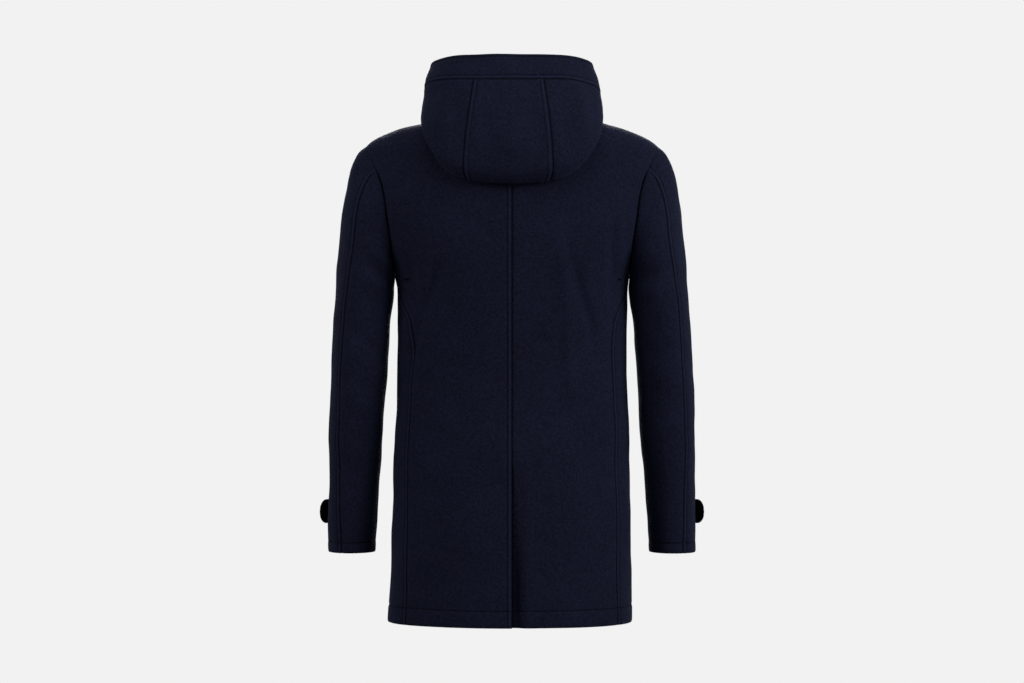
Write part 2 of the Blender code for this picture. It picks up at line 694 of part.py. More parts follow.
def cuff_tab_place(side):
    """The strap's grid: along it (0 sewn end, 1 where it leaves the sleeve, 2 free end), across it (-1 to 1)."""
    level = (CUFF_TAB_Z - FAN_LOW_Z) / (CUFF_Z - FAN_LOW_Z) + 1.0

    def place(along, across):
        width = CUFF_TAB_WIDTH / 2.0
        if along > 1.0:
            past = (along - 1.0) * CUFF_TAB_TAIL
            round_start = CUFF_TAB_TAIL - width
            if past > round_start:
                width *= math.sqrt(max(1.0 - ((past - round_start) / (width * 1.02)) ** 2, 0.0))
        length = level - across * width / (FAN_LOW_Z - CUFF_Z)
        turn = mix(CUFF_TAB_START, CUFF_TAB_LEAVES, min(along, 1.0))
        point = sleeve_point(turn, length, side)
        wall = sleeve_normal(turn, length, side)
        point += wall * (TRIM_LIFT + CUFF_TAB_THICK)
        if along > 1.0:
            ahead = sleeve_point(turn + 1.0, level, side) - sleeve_point(turn - 1.0, level, side)
            point += ahead.normalized() * past
        return point, wall
    return place


def make_button(name, finish, spot, axis):
    """A turned button with a raised rim and a dished middle."""
    turned = bmesh.new()
    profile = ((0.0, 0.0), (0.0085, 0.0), (BUTTON_RADIUS, 0.0012), (BUTTON_RADIUS, BUTTON_THICK - 0.0006),
               (0.0098, BUTTON_THICK), (0.0085, BUTTON_THICK), (0.0074, BUTTON_THICK - 0.0010),
               (0.0, BUTTON_THICK - 0.0010))
    verts = [turned.verts.new((radius, 0.0, height)) for radius, height in profile]
    edges = [turned.edges.new(pair) for pair in zip(verts, verts[1:])]
    bmesh.ops.spin(turned, geom=verts + edges, cent=(0, 0, 0), axis=(0, 0, 1), angle=math.tau, steps=16,
                   use_merge=True)
    bmesh.ops.remove_doubles(turned, verts=turned.verts[:], dist=1e-5)
    bmesh.ops.recalc_face_normals(turned, faces=turned.faces[:])
    turn = axis.to_track_quat("Z", "Y").to_matrix().to_4x4()
    turned.transform(turn)
    bmesh.ops.translate(turned, vec=spot, verts=turned.verts[:])
    mesh = bpy.data.meshes.new(name)
    turned.to_mesh(mesh)
    turned.free()
    return add_object(name, mesh, finish)


def make_cuffs(strap_finish, button_finish):
    along = [0.0, 0.14, 0.28, 0.42, 0.56, 0.70, 0.85, 1.0, 1.3, 1.6, 1.75, 1.87, 1.95, 1.99]
    for side, word in ((1, "left"), (-1, "right")):
        place = cuff_tab_place(side)
        cloth_piece("cuff_tab_" + word, strap_finish, along, (-1.0, 0.0, 1.0), place, thick=CUFF_TAB_THICK)
        spot, wall = place(0.87, 0.0)
        make_button("cuff_button_" + word, button_finish, spot + wall * (SEAM_GAP + 0.0002), wall)


# ---------------------------------------------------------------- toggle rows on the front

def front_spot(across, height, lift=0.0):
    """Point over the left front, which lies on top: distance from the middle, height, lift off the cloth."""
    point = Vector((across, body_depth_at(across, height, False), height))
    return point + body_normal(point) * lift


def patch_place(start, way, height):
    """A rounded patch: along it from its cord end (0) to its tip (1), across it from -1 to 1."""
    def place(along, across):
        across_body = start + way * PATCH_LENGTH * along
        taper = math.sqrt(max(1.0 - (max(along - 0.45, 0.0) / 0.56) ** 2, 0.0))
        point = front_spot(across_body, height + across * PATCH_HALF_HEIGHT * taper)
        wall = body_normal(point)
        return point + wall * (TRIM_LIFT + PATCH_THICK), wall
    return place


def make_cord(name, finish, route):
    """A cord along a smooth curve through its route."""
    reached = [0.0]
    for a, b in zip(route, route[1:]):
        reached.append(reached[-1] + (b - a).length)
    curves = [smooth_through([(r, k[axis]) for r, k in zip(reached, route)]) for axis in range(3)]
    count = max(int(reached[-1] / (CORD_RADIUS * 3.2)), 8)
    data = bpy.data.curves.new(name, "CURVE")
    data.dimensions = "3D"
    data.bevel_depth = CORD_RADIUS
    data.bevel_resolution = 1
    data.render_resolution_u = 0
    data.use_fill_caps = True
    line = data.splines.new("POLY")
    line.points.add(count)
    for point, length in zip(line.points, even(count, 0.0, reached[-1])):
        point.co = (*(curve(length) for curve in curves), 1.0)
    made = bpy.data.objects.new(name, data)
    data.materials.append(finish)
    bpy.context.scene.collection.objects.link(made)
    return made


def loop_route(height):
    """From the left patch to a round end behind the toggle, and back."""
    end = TOGGLE_X - 0.006
    route = [(LOOP_PATCH_START - 0.0006, LOOP_HALF_GAP), (0.020, LOOP_HALF_GAP), (-0.004, LOOP_HALF_GAP),
             (-0.028, LOOP_HALF_GAP)]
    for turn in even(6, 90.0, -90.0):
        angle = math.radians(turn)
        route.append((end - LOOP_HALF_GAP * math.cos(angle), LOOP_HALF_GAP * math.sin(angle)))
    route += [(-0.028, -LOOP_HALF_GAP), (-0.004, -LOOP_HALF_GAP), (0.020, -LOOP_HALF_GAP),
              (LOOP_PATCH_START - 0.0006, -LOOP_HALF_GAP)]
    return [front_spot(across, height + up, CORD_RISE) for across, up in route]


def toggle_cord_route(height):
    """From the right patch, over the loop's end, round the toggle's waist, and back."""
    wrap = TOGGLE_WAIST + CORD_RADIUS + 2.0 * SEAM_GAP
    strand = ((TOGGLE_PATCH_START + 0.0006, 0.0064, CORD_RISE), (-0.084, 0.0063, 0.0036),
              (-0.075, 0.0062, 0.0064), (-0.066, 0.0061, 0.0084), (-0.056, 0.0062, 0.0100))
    middle = front_spot(TOGGLE_X, height, TOGGLE_RISE)
    ring = [middle + Vector((0.0, -wrap * math.sin(math.radians(turn)), wrap * math.cos(math.radians(turn))))
            for turn in (-10.0, 25.0, 60.0, 90.0, 120.0, 155.0, 190.0)]
    start = [front_spot(across, height + up, lift) for across, up, lift in strand]
    back = [front_spot(across, height - up, lift) for across, up, lift in reversed(strand)]
    return [*start, *ring, *back]


def make_toggle(name, finish, height):
    """A turned toggle with a waist, its axis across the coat."""
    turned = bmesh.new()
    half = TOGGLE_LENGTH / 2.0
    profile = ((-half, 0.0), (-half + 0.0008, 0.0026), (-half + 0.006, 0.0050), (-0.013, TOGGLE_RADIUS),
               (-0.0055, 0.0062), (-0.0030, TOGGLE_WAIST), (0.0030, TOGGLE_WAIST), (0.0055, 0.0062),
               (0.013, TOGGLE_RADIUS), (half - 0.006, 0.0050), (half - 0.0008, 0.0026), (half, 0.0))
    verts = [turned.verts.new((along, radius, 0.0)) for along, radius in profile]
    edges = [turned.edges.new(pair) for pair in zip(verts, verts[1:])]
    bmesh.ops.spin(turned, geom=verts + edges, cent=(0, 0, 0), axis=(1, 0, 0), angle=math.tau, steps=12,
                   use_merge=True)
    bmesh.ops.remove_doubles(turned, verts=turned.verts[:], dist=1e-5)
    bmesh.ops.recalc_face_normals(turned, faces=turned.faces[:])
    bmesh.ops.translate(turned, vec=front_spot(TOGGLE_X, height, TOGGLE_RISE), verts=turned.verts[:])
    mesh = bpy.data.meshes.new(name)
    turned.to_mesh(mesh)
    turned.free()
    return add_object(name, mesh, finish)


def make_toggle_rows(patch_finish, cord_finish, toggle_finish):
    along = [0.0, 0.25, 0.5, 0.7, 0.84, 0.94, 0.99]
    for number, height in enumerate(TOGGLE_HEIGHTS, start=1):
        word = str(number)
        cloth_piece("loop_patch_" + word, patch_finish, along, (-1.0, 0.0, 1.0),
                    patch_place(LOOP_PATCH_START, 1, height), thick=PATCH_THICK)
        cloth_piece("toggle_patch_" + word, patch_finish, along, (-1.0, 0.0, 1.0),
                    patch_place(TOGGLE_PATCH_START, -1, height), thick=PATCH_THICK)
        make_cord("loop_cord_" + word, cord_finish, loop_route(height))
        make_cord("toggle_cord_" + word, cord_finish, toggle_cord_route(height))
        make_toggle("toggle_" + word, toggle_finish, height)


# ---------------------------------------------------------------- the coat

def main():
    for old in list(bpy.data.objects):
        bpy.data.objects.remove(old, do_unlink=True)
    wool = material("navy_wool", NAVY, 0.95)
    strap = material("dark_strap", DARK_NAVY, 0.85)
    leather = material("brown_leather", LEATHER_BROWN, 0.55)
    cord = material("waxed_cord", CORD_DARK, 0.80)
    horn = material("brown_horn", HORN_BROWN, 0.35)
    button = material("dark_button", BUTTON_DARK, 0.35)
    make_body(wool)
    make_sleeves(wool)
    make_hood(wool)
    make_cuffs(strap, button)
    make_toggle_rows(leather, cord, horn)


main()
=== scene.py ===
# %% [markdown]
# # A navy wool duffle coat, seen from behind
# The coat stands filled out, as if worn, with nobody in it. Its hood lies back, its front closes with
# toggles, and its back has a middle seam that opens into a vent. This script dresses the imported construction
# model: it loads that model as a fixed frame and lays finished cloth, leather, cord and horn exactly where
# its solids are.

# %% Load the frame
import bisect
import functools
import math

import bmesh
import bpy
import numpy as np
from mathutils import Matrix, Vector, noise


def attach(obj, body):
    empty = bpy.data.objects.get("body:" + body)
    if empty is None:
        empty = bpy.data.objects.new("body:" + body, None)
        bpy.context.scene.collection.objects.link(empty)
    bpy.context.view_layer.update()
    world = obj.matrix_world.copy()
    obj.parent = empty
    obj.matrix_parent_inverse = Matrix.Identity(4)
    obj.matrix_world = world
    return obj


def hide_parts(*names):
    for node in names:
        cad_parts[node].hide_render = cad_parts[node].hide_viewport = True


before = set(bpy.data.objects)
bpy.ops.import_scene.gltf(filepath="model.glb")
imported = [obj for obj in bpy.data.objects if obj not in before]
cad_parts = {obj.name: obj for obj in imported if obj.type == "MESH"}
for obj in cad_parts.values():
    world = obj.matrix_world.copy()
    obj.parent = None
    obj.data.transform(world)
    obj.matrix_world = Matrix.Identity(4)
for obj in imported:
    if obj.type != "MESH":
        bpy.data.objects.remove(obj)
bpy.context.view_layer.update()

# %% [markdown]
# ## Camera, floor and light
# The coat is looked at straight from behind, level with its middle, through a long lens, as in a studio. A
# pale surround gives even light, and large soft lamps from above and from both sides model the folds. The
# right-hand lamp is the stronger one, so that side of the cloth is a little lighter. The floor is a disc
# below the usual view, because a wide floor would draw a horizon across the backdrop.

# %% Camera
CAMERA_Y = 4.5
CAMERA_Z = -0.352
VIEW_WIDTH = 1.659          # metres seen across, at the coat
SENSOR_MM = 36.0


def make_camera():
    data = bpy.data.cameras.new("camera")
    data.sensor_width = SENSOR_MM
    data.lens = SENSOR_MM * CAMERA_Y / VIEW_WIDTH
    camera = bpy.data.objects.new("camera", data)
    bpy.context.scene.collection.objects.link(camera)
    camera.location = (0.0, CAMERA_Y, CAMERA_Z)
    camera.rotation_euler = (math.radians(90.0), 0.0, math.radians(180.0))
    bpy.context.scene.camera = camera
    print("lens", round(data.lens, 1), "mm")


make_camera()

# %% Floor and surround
FLOOR_Z = -1.02
FLOOR_RADIUS = 0.9
SURROUND = 0.887            # grey of the backdrop, as the camera should see it
FLOOR_GREY = 0.11           # dark enough not to glare under the lamps


def new_material(name, roughness, shine=0.5):
    """A material with its roughness and shine set, its node tree and its surface shader."""
    made = bpy.data.materials.new(name)
    made.use_nodes = True
    shader = made.node_tree.nodes["Principled BSDF"]
    shader.inputs["Roughness"].default_value = roughness
    shader.inputs["Specular IOR Level"].default_value = shine
    return made, made.node_tree, shader


def plain_material(name, colour, roughness, shine=0.5):
    made, _, shader = new_material(name, roughness, shine)
    shader.inputs["Base Color"].default_value = (*colour, 1.0)
    return made


def make_floor():
    shape = bmesh.new()
    bmesh.ops.create_circle(shape, cap_ends=True, segments=64, radius=FLOOR_RADIUS)
    bmesh.ops.translate(shape, vec=(0.0, 0.0, FLOOR_Z), verts=shape.verts[:])
    mesh = bpy.data.meshes.new("floor")
    shape.to_mesh(mesh)
    shape.free()
    mesh.materials.append(plain_material("pale_floor", (FLOOR_GREY, FLOOR_GREY, FLOOR_GREY), 0.9))
    floor = bpy.data.objects.new("floor", mesh)
    bpy.context.scene.collection.objects.link(floor)
    world = bpy.data.worlds.new("surround")
    world.use_nodes = True
    world.node_tree.nodes["Background"].inputs["Color"].default_value = (SURROUND, SURROUND, SURROUND, 1.0)
    bpy.context.scene.world = world
    bpy.context.scene.view_settings.view_transform = "Standard"
    print("floor at", FLOOR_Z)


make_floor()

# %% Lamps
LAMPS = (                   # columns: name, place, size, watts
    ("overhead", (0.0, 1.0, 2.6), 2.4, 80.0),
    ("right_side", (-2.6, 1.5, 0.6), 1.8, 265.0),
    ("left_side", (2.6, 1.5, 0.6), 1.8, 125.0),
    ("front_fill", (0.0, -3.0, 1.0), 2.0, 230.0),
)


def make_lamps():
    aim = Vector((0.0, 0.0, -0.35))
    for name, place, size, watts in LAMPS:
        data = bpy.data.lights.new(name, "AREA")
        data.shape = "DISK"
        data.size = size
        data.energy = watts
        lamp = bpy.data.objects.new(name, data)
        bpy.context.scene.collection.objects.link(lamp)
        lamp.location = place
        lamp.rotation_euler = (Vector(place) - aim).to_track_quat("Z", "Y").to_euler()
    print("lamps", len(LAMPS))


make_lamps()

# %% [markdown]
# ## The three forms under the cloth
# A coat's panels lie on a body, two sleeves and a hood. Sculpting them by eye would lose the exact seams, so
# each form is a formula through a short table, the same as in the construction model: superellipse rings for
# the body, fanned rings for the sleeves and profiles round the neck for the hood. Smooth curves join the
# table's rows.

# %% Smooth curves through a table
def smooth_through(rows, column=1):
    """A smooth function through a table's rows, of its first column."""
    ordered = sorted(rows)
    knots = [row[0] for row in ordered]
    values = [row[column] for row in ordered]
    steps = [b - a for a, b in zip(knots, knots[1:])]
    slopes = [(b - a) / step for a, b, step in zip(values, values[1:], steps)]
    inner = [(slopes[k] * steps[k + 1] + slopes[k + 1] * steps[k]) / (steps[k] + steps[k + 1])
             for k in range(len(steps) - 1)]
    tangents = [slopes[0]] + inner + [slopes[-1]]

    def value(at):
        k = min(max(bisect.bisect_right(knots, at) - 1, 0), len(steps) - 1)
        step = steps[k]
        part = (at - knots[k]) / step
        part = min(max(part, 0.0), 1.0)
        square, cube = part ** 2, part ** 3
        return ((2 * cube - 3 * square + 1) * values[k] + (cube - 2 * square + part) * step * tangents[k]
                + (3 * square - 2 * cube) * values[k + 1] + (cube - square) * step * tangents[k + 1])

    return value


def mix(first, second, part):
    return first + (second - first) * part


def ease(low, high, at):
    """0 below low, 1 above high, and a soft step between."""
    part = min(max((at - low) / (high - low), 0.0), 1.0)
    return part * part * (3.0 - 2.0 * part)


def signed_power(value, power):
    return math.copysign(abs(value) ** power, value)


def even(count, start=0.0, end=1.0):
    return [mix(start, end, k / count) for k in range(count + 1)]


print("halfway", smooth_through(((0.0, 0.0), (1.0, 1.0)))(0.5))

# %% The body form
RING_POWER = 2.3            # superellipse power of the body's rings
SLEEVE_POWER = 2.1          # superellipse power of the sleeves' rings
HEM_Z = -0.803
CUFF_Z = -0.693

# Body rings: height, half width, depth behind the side line, depth in front of it
BODY_RINGS = (
    (0.018, 0.0850, 0.060, 0.040),
    (0.000, 0.1470, 0.078, 0.062),
    (-0.010, 0.1830, 0.086, 0.071),
    (-0.026, 0.2220, 0.096, 0.081),
    (-0.036, 0.2350, 0.101, 0.086),
    (-0.060, 0.2400, 0.110, 0.095),
    (-0.100, 0.2380, 0.119, 0.107),
    (-0.150, 0.2310, 0.124, 0.116),
    (-0.200, 0.2110, 0.124, 0.120),
    (-0.245, 0.1900, 0.120, 0.121),
    (-0.300, 0.1862, 0.115, 0.121),
    (-0.350, 0.1855, 0.112, 0.120),
    (-0.420, 0.1866, 0.112, 0.119),
    (-0.520, 0.1900, 0.119, 0.122),
    (-0.620, 0.1932, 0.127, 0.127),
    (-0.720, 0.1956, 0.133, 0.131),
    (HEM_Z, 0.1975, 0.137, 0.134),
)

# Neck seam: an oval seen from above, laid on the body
NECK_HALF_WIDTH = 0.085
NECK_BACK = 0.0805
NECK_FRONT = 0.0985
NECK_TOP_Z = 0.018

# Armhole: its highest and lowest points, and how far it reaches behind and in front of the side line
ARMHOLE_TOP_Z = -0.036
ARMHOLE_LOW_Z = -0.245
ARMHOLE_BACK = 0.072
ARMHOLE_FRONT = 0.074
SLEEVE_BACK_TURN = 53.0     # where the sleeve's back seam starts
SLEEVE_FRONT_TURN = -135.0  # where the sleeve's front seam starts

# Side seam, set well behind the side: height, angle from the centre back in degrees
SIDE_SEAM = (
    (ARMHOLE_LOW_Z, 90.0),
    (-0.265, 81.5),
    (-0.285, 71.5),
    (-0.310, 61.5),
    (-0.350, 57.2),
    (-0.420, 58.3),
    (-0.600, 57.5),
    (HEM_Z, 56.3),
)


half_width = smooth_through(BODY_RINGS, 1)
back_depth = smooth_through(BODY_RINGS, 2)
front_depth = smooth_through(BODY_RINGS, 3)
side_seam_angle = smooth_through(SIDE_SEAM)


def body_point(angle, height, side=1):
    """Point of the body form; the angle runs from the centre back (0) over the side (90) to the front."""
    turn = math.radians(angle)
    across = signed_power(math.sin(turn), 2.0 / RING_POWER)
    along = signed_power(math.cos(turn), 2.0 / RING_POWER)
    depth = back_depth(height) if along > 0 else front_depth(height)
    return Vector((side * half_width(height) * across, depth * along, height))


def body_depth_at(across, height, behind=True):
    """How far behind (or in front of) the side line the body form lies at this distance from the middle."""
    ratio = min(abs(across) / half_width(height), 1.0)
    depth = back_depth(height) if behind else -front_depth(height)
    return depth * (1.0 - ratio ** RING_POWER) ** (1.0 / RING_POWER)


def body_gauge(point):
    """Below 1 inside the body form, 1 on it."""
    depth = back_depth(point.z) if point.y > 0 else front_depth(point.z)
    return (abs(point.x) / half_width(point.z)) ** RING_POWER + (abs(point.y) / depth) ** RING_POWER


def body_normal(point, step=0.0004):
    slope = []
    for axis in range(3):
        shift = Vector((0.0, 0.0, 0.0))
        shift[axis] = step
        slope.append(body_gauge(point + shift) - body_gauge(point - shift))
    return Vector(slope).normalized()


def body_angle(point):
    depth = back_depth(point.z) if point.y > 0 else front_depth(point.z)
    across = min(abs(point.x) / half_width(point.z), 1.0) ** (RING_POWER / 2.0)
    along = signed_power(point.y / depth, RING_POWER / 2.0)
    return math.degrees(math.atan2(across, along))


print("chest", round(2.0 * half_width(-0.2), 3), "m across")

# %% Neck and armhole
@functools.lru_cache(maxsize=None)
def neck_spot(turn):
    """Body angle and height of the neck seam, by the turn round its oval from the centre back (0 to 180)."""
    across = NECK_HALF_WIDTH * math.sin(math.radians(turn))
    along = math.cos(math.radians(turn))
    along *= NECK_BACK if along > 0 else NECK_FRONT
    low, high = -0.120, NECK_TOP_Z
    for _ in range(40):
        middle = (low + high) / 2.0
        if body_gauge(Vector((across, along, middle))) < 1.0:
            low = middle
        else:
            high = middle
    angle = body_angle(Vector((abs(across), along, low)))
    return (angle if across >= 0.0 else 360.0 - angle), low


def armhole_point(turn, side=1):
    """Point of the armhole seam; the turn runs from its top (0) over the back (90) to the underarm (180)."""
    height = mix(ARMHOLE_LOW_Z, ARMHOLE_TOP_Z, (1.0 + math.cos(math.radians(turn))) / 2.0)
    reach = math.sin(math.radians(turn)) * (ARMHOLE_BACK if turn > 0 else ARMHOLE_FRONT)
    depth = back_depth(height) if reach > 0 else front_depth(height)
    across = half_width(height) * (1.0 - (abs(reach) / depth) ** RING_POWER) ** (1.0 / RING_POWER)
    return Vector((side * across, reach, height))


print("armhole top", armhole_point(0.0))

# %% [markdown]
# ## Cloth from a flat grid
# A tailor's panel starts flat. A flat grid from `create_grid` is laid on the form row by row, so its edges
# fall on the seams and its own UV map, in metres, is the pattern the weave follows. A loft or a sculpted
# shell would have no pattern. The grid is fine near every edge, because seams sink in and topstitching pulls
# a groove beside them, and coarser in the middle, where only soft folds have to show. Solidify gives the
# wall its thickness at the end.

# %% Distances across a panel
CLOTH_WALL = 0.0024
MESH_STEP = 0.0046
TOPSTITCH = 0.007           # from a seam to its topstitching
EDGE_STEPS = (0.0, 0.0010, 0.0025, 0.0045, TOPSTITCH, 0.0095, 0.0130)
HEM_STITCH = 0.027
HEM_STEPS = (0.0, 0.0010, 0.0028, 0.0070, 0.0120, 0.0180, 0.0230, HEM_STITCH, 0.0310, 0.0360)
CUFF_STITCH = 0.017
CUFF_STEPS = (0.0, 0.0010, 0.0028, 0.0070, 0.0120, CUFF_STITCH, 0.0210, 0.0260)


def stations(length, first, last, count):
    """Distances along a length, close together at both ends, as shares of the length."""
    inner = np.linspace(first[-1], length - last[-1], count + 1)
    ends = length - np.array(last[:-1])[::-1]
    return np.concatenate([first[:-1], inner, ends]) / length


def middle_count(length, first, last, step=MESH_STEP):
    return max(round((length - first[-1] - last[-1]) / step), 2)


def lengths_along(points):
    """Distance reached at each point of a line."""
    return np.concatenate([[0.0], np.cumsum(np.linalg.norm(np.diff(points, axis=0), axis=1))])


def spaced(probe, points, first, last, step=MESH_STEP):
    """Values along a probe, set at true distances along its points and close together at both ends."""
    reached = lengths_along(np.array(points))
    wanted = stations(reached[-1], first, last, middle_count(reached[-1], first, last, step)) * reached[-1]
    return np.interp(wanted, reached, probe)


def row_places(place, rows, first, last, ends, step=MESH_STEP):
    """Every row of a panel as the same number of points, spaced by true distance along that row."""
    probe = np.linspace(ends[0], ends[1], 41)
    sampled = []
    for row in rows:
        points = np.array([place(at, row) for at in probe])
        sampled.append((lengths_along(points), row))
    longest = max(reached[-1] for reached, _ in sampled)
    count = middle_count(longest, first, last, step)
    grid = []
    for reached, row in sampled:
        wanted = stations(reached[-1], first, last, count) * reached[-1]
        grid.append([place(at, row) for at in np.interp(wanted, reached, probe)])
    return np.array(grid).transpose(1, 0, 2)


def panel_stations(place, middle, low, high, first, last, keep=(), step=MESH_STEP):
    """Rows of a panel, spaced by true distance down its middle, with some rows kept exactly."""
    probe = np.linspace(low, high, 121)
    rows = spaced(probe, [place(middle, row) for row in probe], first, last, step)
    for exact in keep:
        rows[np.argmin(np.abs(rows - exact))] = exact
    return rows


print("edge stations", len(EDGE_STEPS), "hem stations", len(HEM_STEPS))

# %% [markdown]
# ## Seams, topstitching and folds
# Pressed seams sink about a millimetre, the layers under them make a low ridge, and the topstitching pulls a
# thin groove. Over the shoulder the sleeve's seam is pressed flat, so it hardly shows there. Folds are
# larger and uneven: each is a soft trough or ridge along a short listed line, in metres across and up
# the coat. A cloth simulation would put folds in places of its own choosing, so they are placed.

# %% Seam and fold shapes
SEAM_DROP = 0.0013
SEAM_REACH = 0.0022
STITCH_DROP = 0.0007
STITCH_REACH = 0.0016
RIDGE_RISE = 0.0005
SHOULDER_LOW_Z = -0.088     # the sleeve's seam is pressed flat above this height and beyond this half width
SHOULDER_INNER = 0.15


def topstitch_relief(distance, stitch):
    """A groove under the stitches and a ridge between them and the seam."""
    ridge = RIDGE_RISE * np.exp(-((distance - stitch * 0.55) / (stitch * 0.28)) ** 2)
    return ridge - STITCH_DROP * np.exp(-((distance - stitch) / STITCH_REACH) ** 2)


def over_shoulder(points):
    """1 over the shoulder, where the sleeve's seam is pressed flat and barely shows, and 0 below."""
    high = np.clip((points[..., 2] - SHOULDER_LOW_Z) / 0.022, 0.0, 1.0)
    return high * np.clip((np.abs(points[..., 0]) - SHOULDER_INNER) / 0.02, 0.0, 1.0)


def edge_relief(distance, stitch):
    """Height near a free edge: a turned hem, a little thicker than the rest, and its groove of stitches."""
    relief = -0.0006 * np.exp(-(distance / 0.0018) ** 2) + 0.0005 * (distance < stitch)
    return relief - STITCH_DROP * np.exp(-((distance - stitch) / (STITCH_REACH * 1.4)) ** 2)


def fold_relief(spots, folds):
    """Soft troughs and ridges: height, reach and a line of (across, up) for each."""
    relief = np.zeros(spots.shape[:-1])
    for height, reach, line in folds:
        line = np.array(line)
        pieces = np.linalg.norm(np.diff(line, axis=0), axis=1)
        whole, before = pieces.sum(), 0.0
        nearest = np.full(relief.shape, 9.0)
        along = np.zeros(relief.shape)
        for start, end, piece in zip(line, line[1:], pieces):
            way = (end - start) / piece
            share = np.clip(((spots - start) @ way) / piece, 0.0, 1.0)
            gap = np.linalg.norm(spots - (start + share[..., None] * (end - start)), axis=-1)
            closer = gap < nearest
            nearest = np.where(closer, gap, nearest)
            along = np.where(closer, (before + share * piece) / whole, along)
            before += piece
        fade = np.clip(np.minimum(along, 1.0 - along) / 0.30, 0.0, 1.0)
        fade = 0.25 + 0.75 * fade * fade * (3.0 - 2.0 * fade)
        relief += height * fade * np.exp(-(nearest / reach) ** 2)
    return relief


def uneven(points, size, height, shift=0.0):
    """Slow waves that keep a large panel from looking machined."""
    flat = points.reshape(-1, 3)
    waves = [noise.noise(Vector(point) / size + Vector((shift, 0.0, shift))) for point in flat]
    return np.array(waves).reshape(points.shape[:-1]) * height


print("seam valley", SEAM_DROP * 1000, "mm")

# %% Distances from a panel's borders
MOST_SLANT = 0.75           # a row that meets its border at a slant counts as no more slanted than this


def grid_normals(points):
    """Direction out of the cloth at every grid point."""
    along_u = np.gradient(points, axis=0)
    along_v = np.gradient(points, axis=1)
    normal = np.cross(along_u, along_v)
    size = np.linalg.norm(normal, axis=-1, keepdims=True)
    return normal / np.maximum(size, 1e-12)


def border_distances(points):
    """Distance of every grid point from the four borders, square to each."""
    across = np.linalg.norm(np.diff(points, axis=0), axis=-1)
    down = np.linalg.norm(np.diff(points, axis=1), axis=-1)
    zero_u = np.zeros((1, points.shape[1]))
    zero_v = np.zeros((points.shape[0], 1))
    left = np.concatenate([zero_u, np.cumsum(across, axis=0)], axis=0)
    top = np.concatenate([zero_v, np.cumsum(down, axis=1)], axis=1)
    found = {"left": left, "right": left[-1:, :] - left, "top": top, "bottom": top[:, -1:] - top}
    tangents = {
        "left": (np.gradient(points[0], axis=0), points[1] - points[0]),
        "right": (np.gradient(points[-1], axis=0), points[-2] - points[-1]),
        "top": (np.gradient(points[:, 0], axis=0), points[:, 1] - points[:, 0]),
        "bottom": (np.gradient(points[:, -1], axis=0), points[:, -2] - points[:, -1]),
    }
    for border, (edge, inward) in tangents.items():
        cross = np.linalg.norm(np.cross(edge, inward), axis=-1)
        square = cross / np.maximum(np.linalg.norm(edge, axis=-1) * np.linalg.norm(inward, axis=-1), 1e-12)
        square = np.maximum(square, MOST_SLANT)
        found[border] = found[border] * (square[None, :] if border in ("left", "right") else square[:, None])
    return found


# %% Make a cloth piece
THREAD_LINES = {}
FAR_AWAY = 1.0
SHOULDER_PRESS = 0.9        # share of a seam's valley that is pressed out over the shoulder
SHOULDER_FADE = 0.004       # and how much fainter its dark line is there, as a distance


def press(points, distance, borders):
    """Height that a panel's seams, hems and topstitching give it, and its distances to their lines."""
    gaps = {name: np.full(points.shape[:2], FAR_AWAY) for name in ("to_stitch", "to_seam", "to_ridge")}
    height = np.zeros(points.shape[:2])

    def closer(name, gap):
        gaps[name] = np.minimum(gaps[name], gap)

    for border, (kind, stitch) in borders.items():
        if kind == "seam":
            closer("to_seam", distance[border])
        if stitch:
            height = height + (topstitch_relief if kind == "seam" else edge_relief)(distance[border], stitch)
            closer("to_stitch", np.abs(distance[border] - stitch))
        # The distance to this ridge carries a painted highlight in the wool.
        if stitch and kind == "seam":
            closer("to_ridge", np.abs(distance[border] - stitch / 2.0))
    flattened = over_shoulder(points)
    valley = SEAM_DROP * np.exp(-(gaps["to_seam"] / SEAM_REACH) ** 2)
    # Over the shoulder the seam's painted shade lies further off, so it is fainter there.
    gaps["to_seam"] = gaps["to_seam"] + SHOULDER_FADE * flattened
    return height - valley * (1.0 - SHOULDER_PRESS * flattened), gaps


def panel_mesh(name, points, placed, gaps, outward):
    """A flat grid laid on the placed points, with its pattern as a UV map and its distances to the seams."""
    wide, tall = points.shape[0] - 1, points.shape[1] - 1
    across = lengths_along(points[:, tall // 2])
    down = lengths_along(points[wide // 2])
    cut = bmesh.new()
    bmesh.ops.create_grid(cut, x_segments=wide, y_segments=tall, size=0.5)
    pattern = cut.loops.layers.uv.new("pattern")
    stored = {key: cut.verts.layers.float.new(key) for key in gaps}
    spot = {}
    for vert in cut.verts:
        i, j = round((vert.co.x + 0.5) * wide), round((vert.co.y + 0.5) * tall)
        spot[vert] = (across[i], down[j])
        vert.co = placed[i, j]
        for key, layer in stored.items():
            vert[layer] = gaps[key][i, j]
    for face in cut.faces:
        for loop in face.loops:
            loop[pattern].uv = spot[loop.vert]
    cut.normal_update()
    lean = sum(face.normal.dot(Vector(outward(np.array(face.calc_center_median())))) for face in cut.faces)
    if lean < 0.0:
        bmesh.ops.reverse_faces(cut, faces=cut.faces[:])
    mesh = bpy.data.meshes.new(name)
    cut.to_mesh(mesh)
    cut.free()
    mesh.shade_smooth()
    return mesh


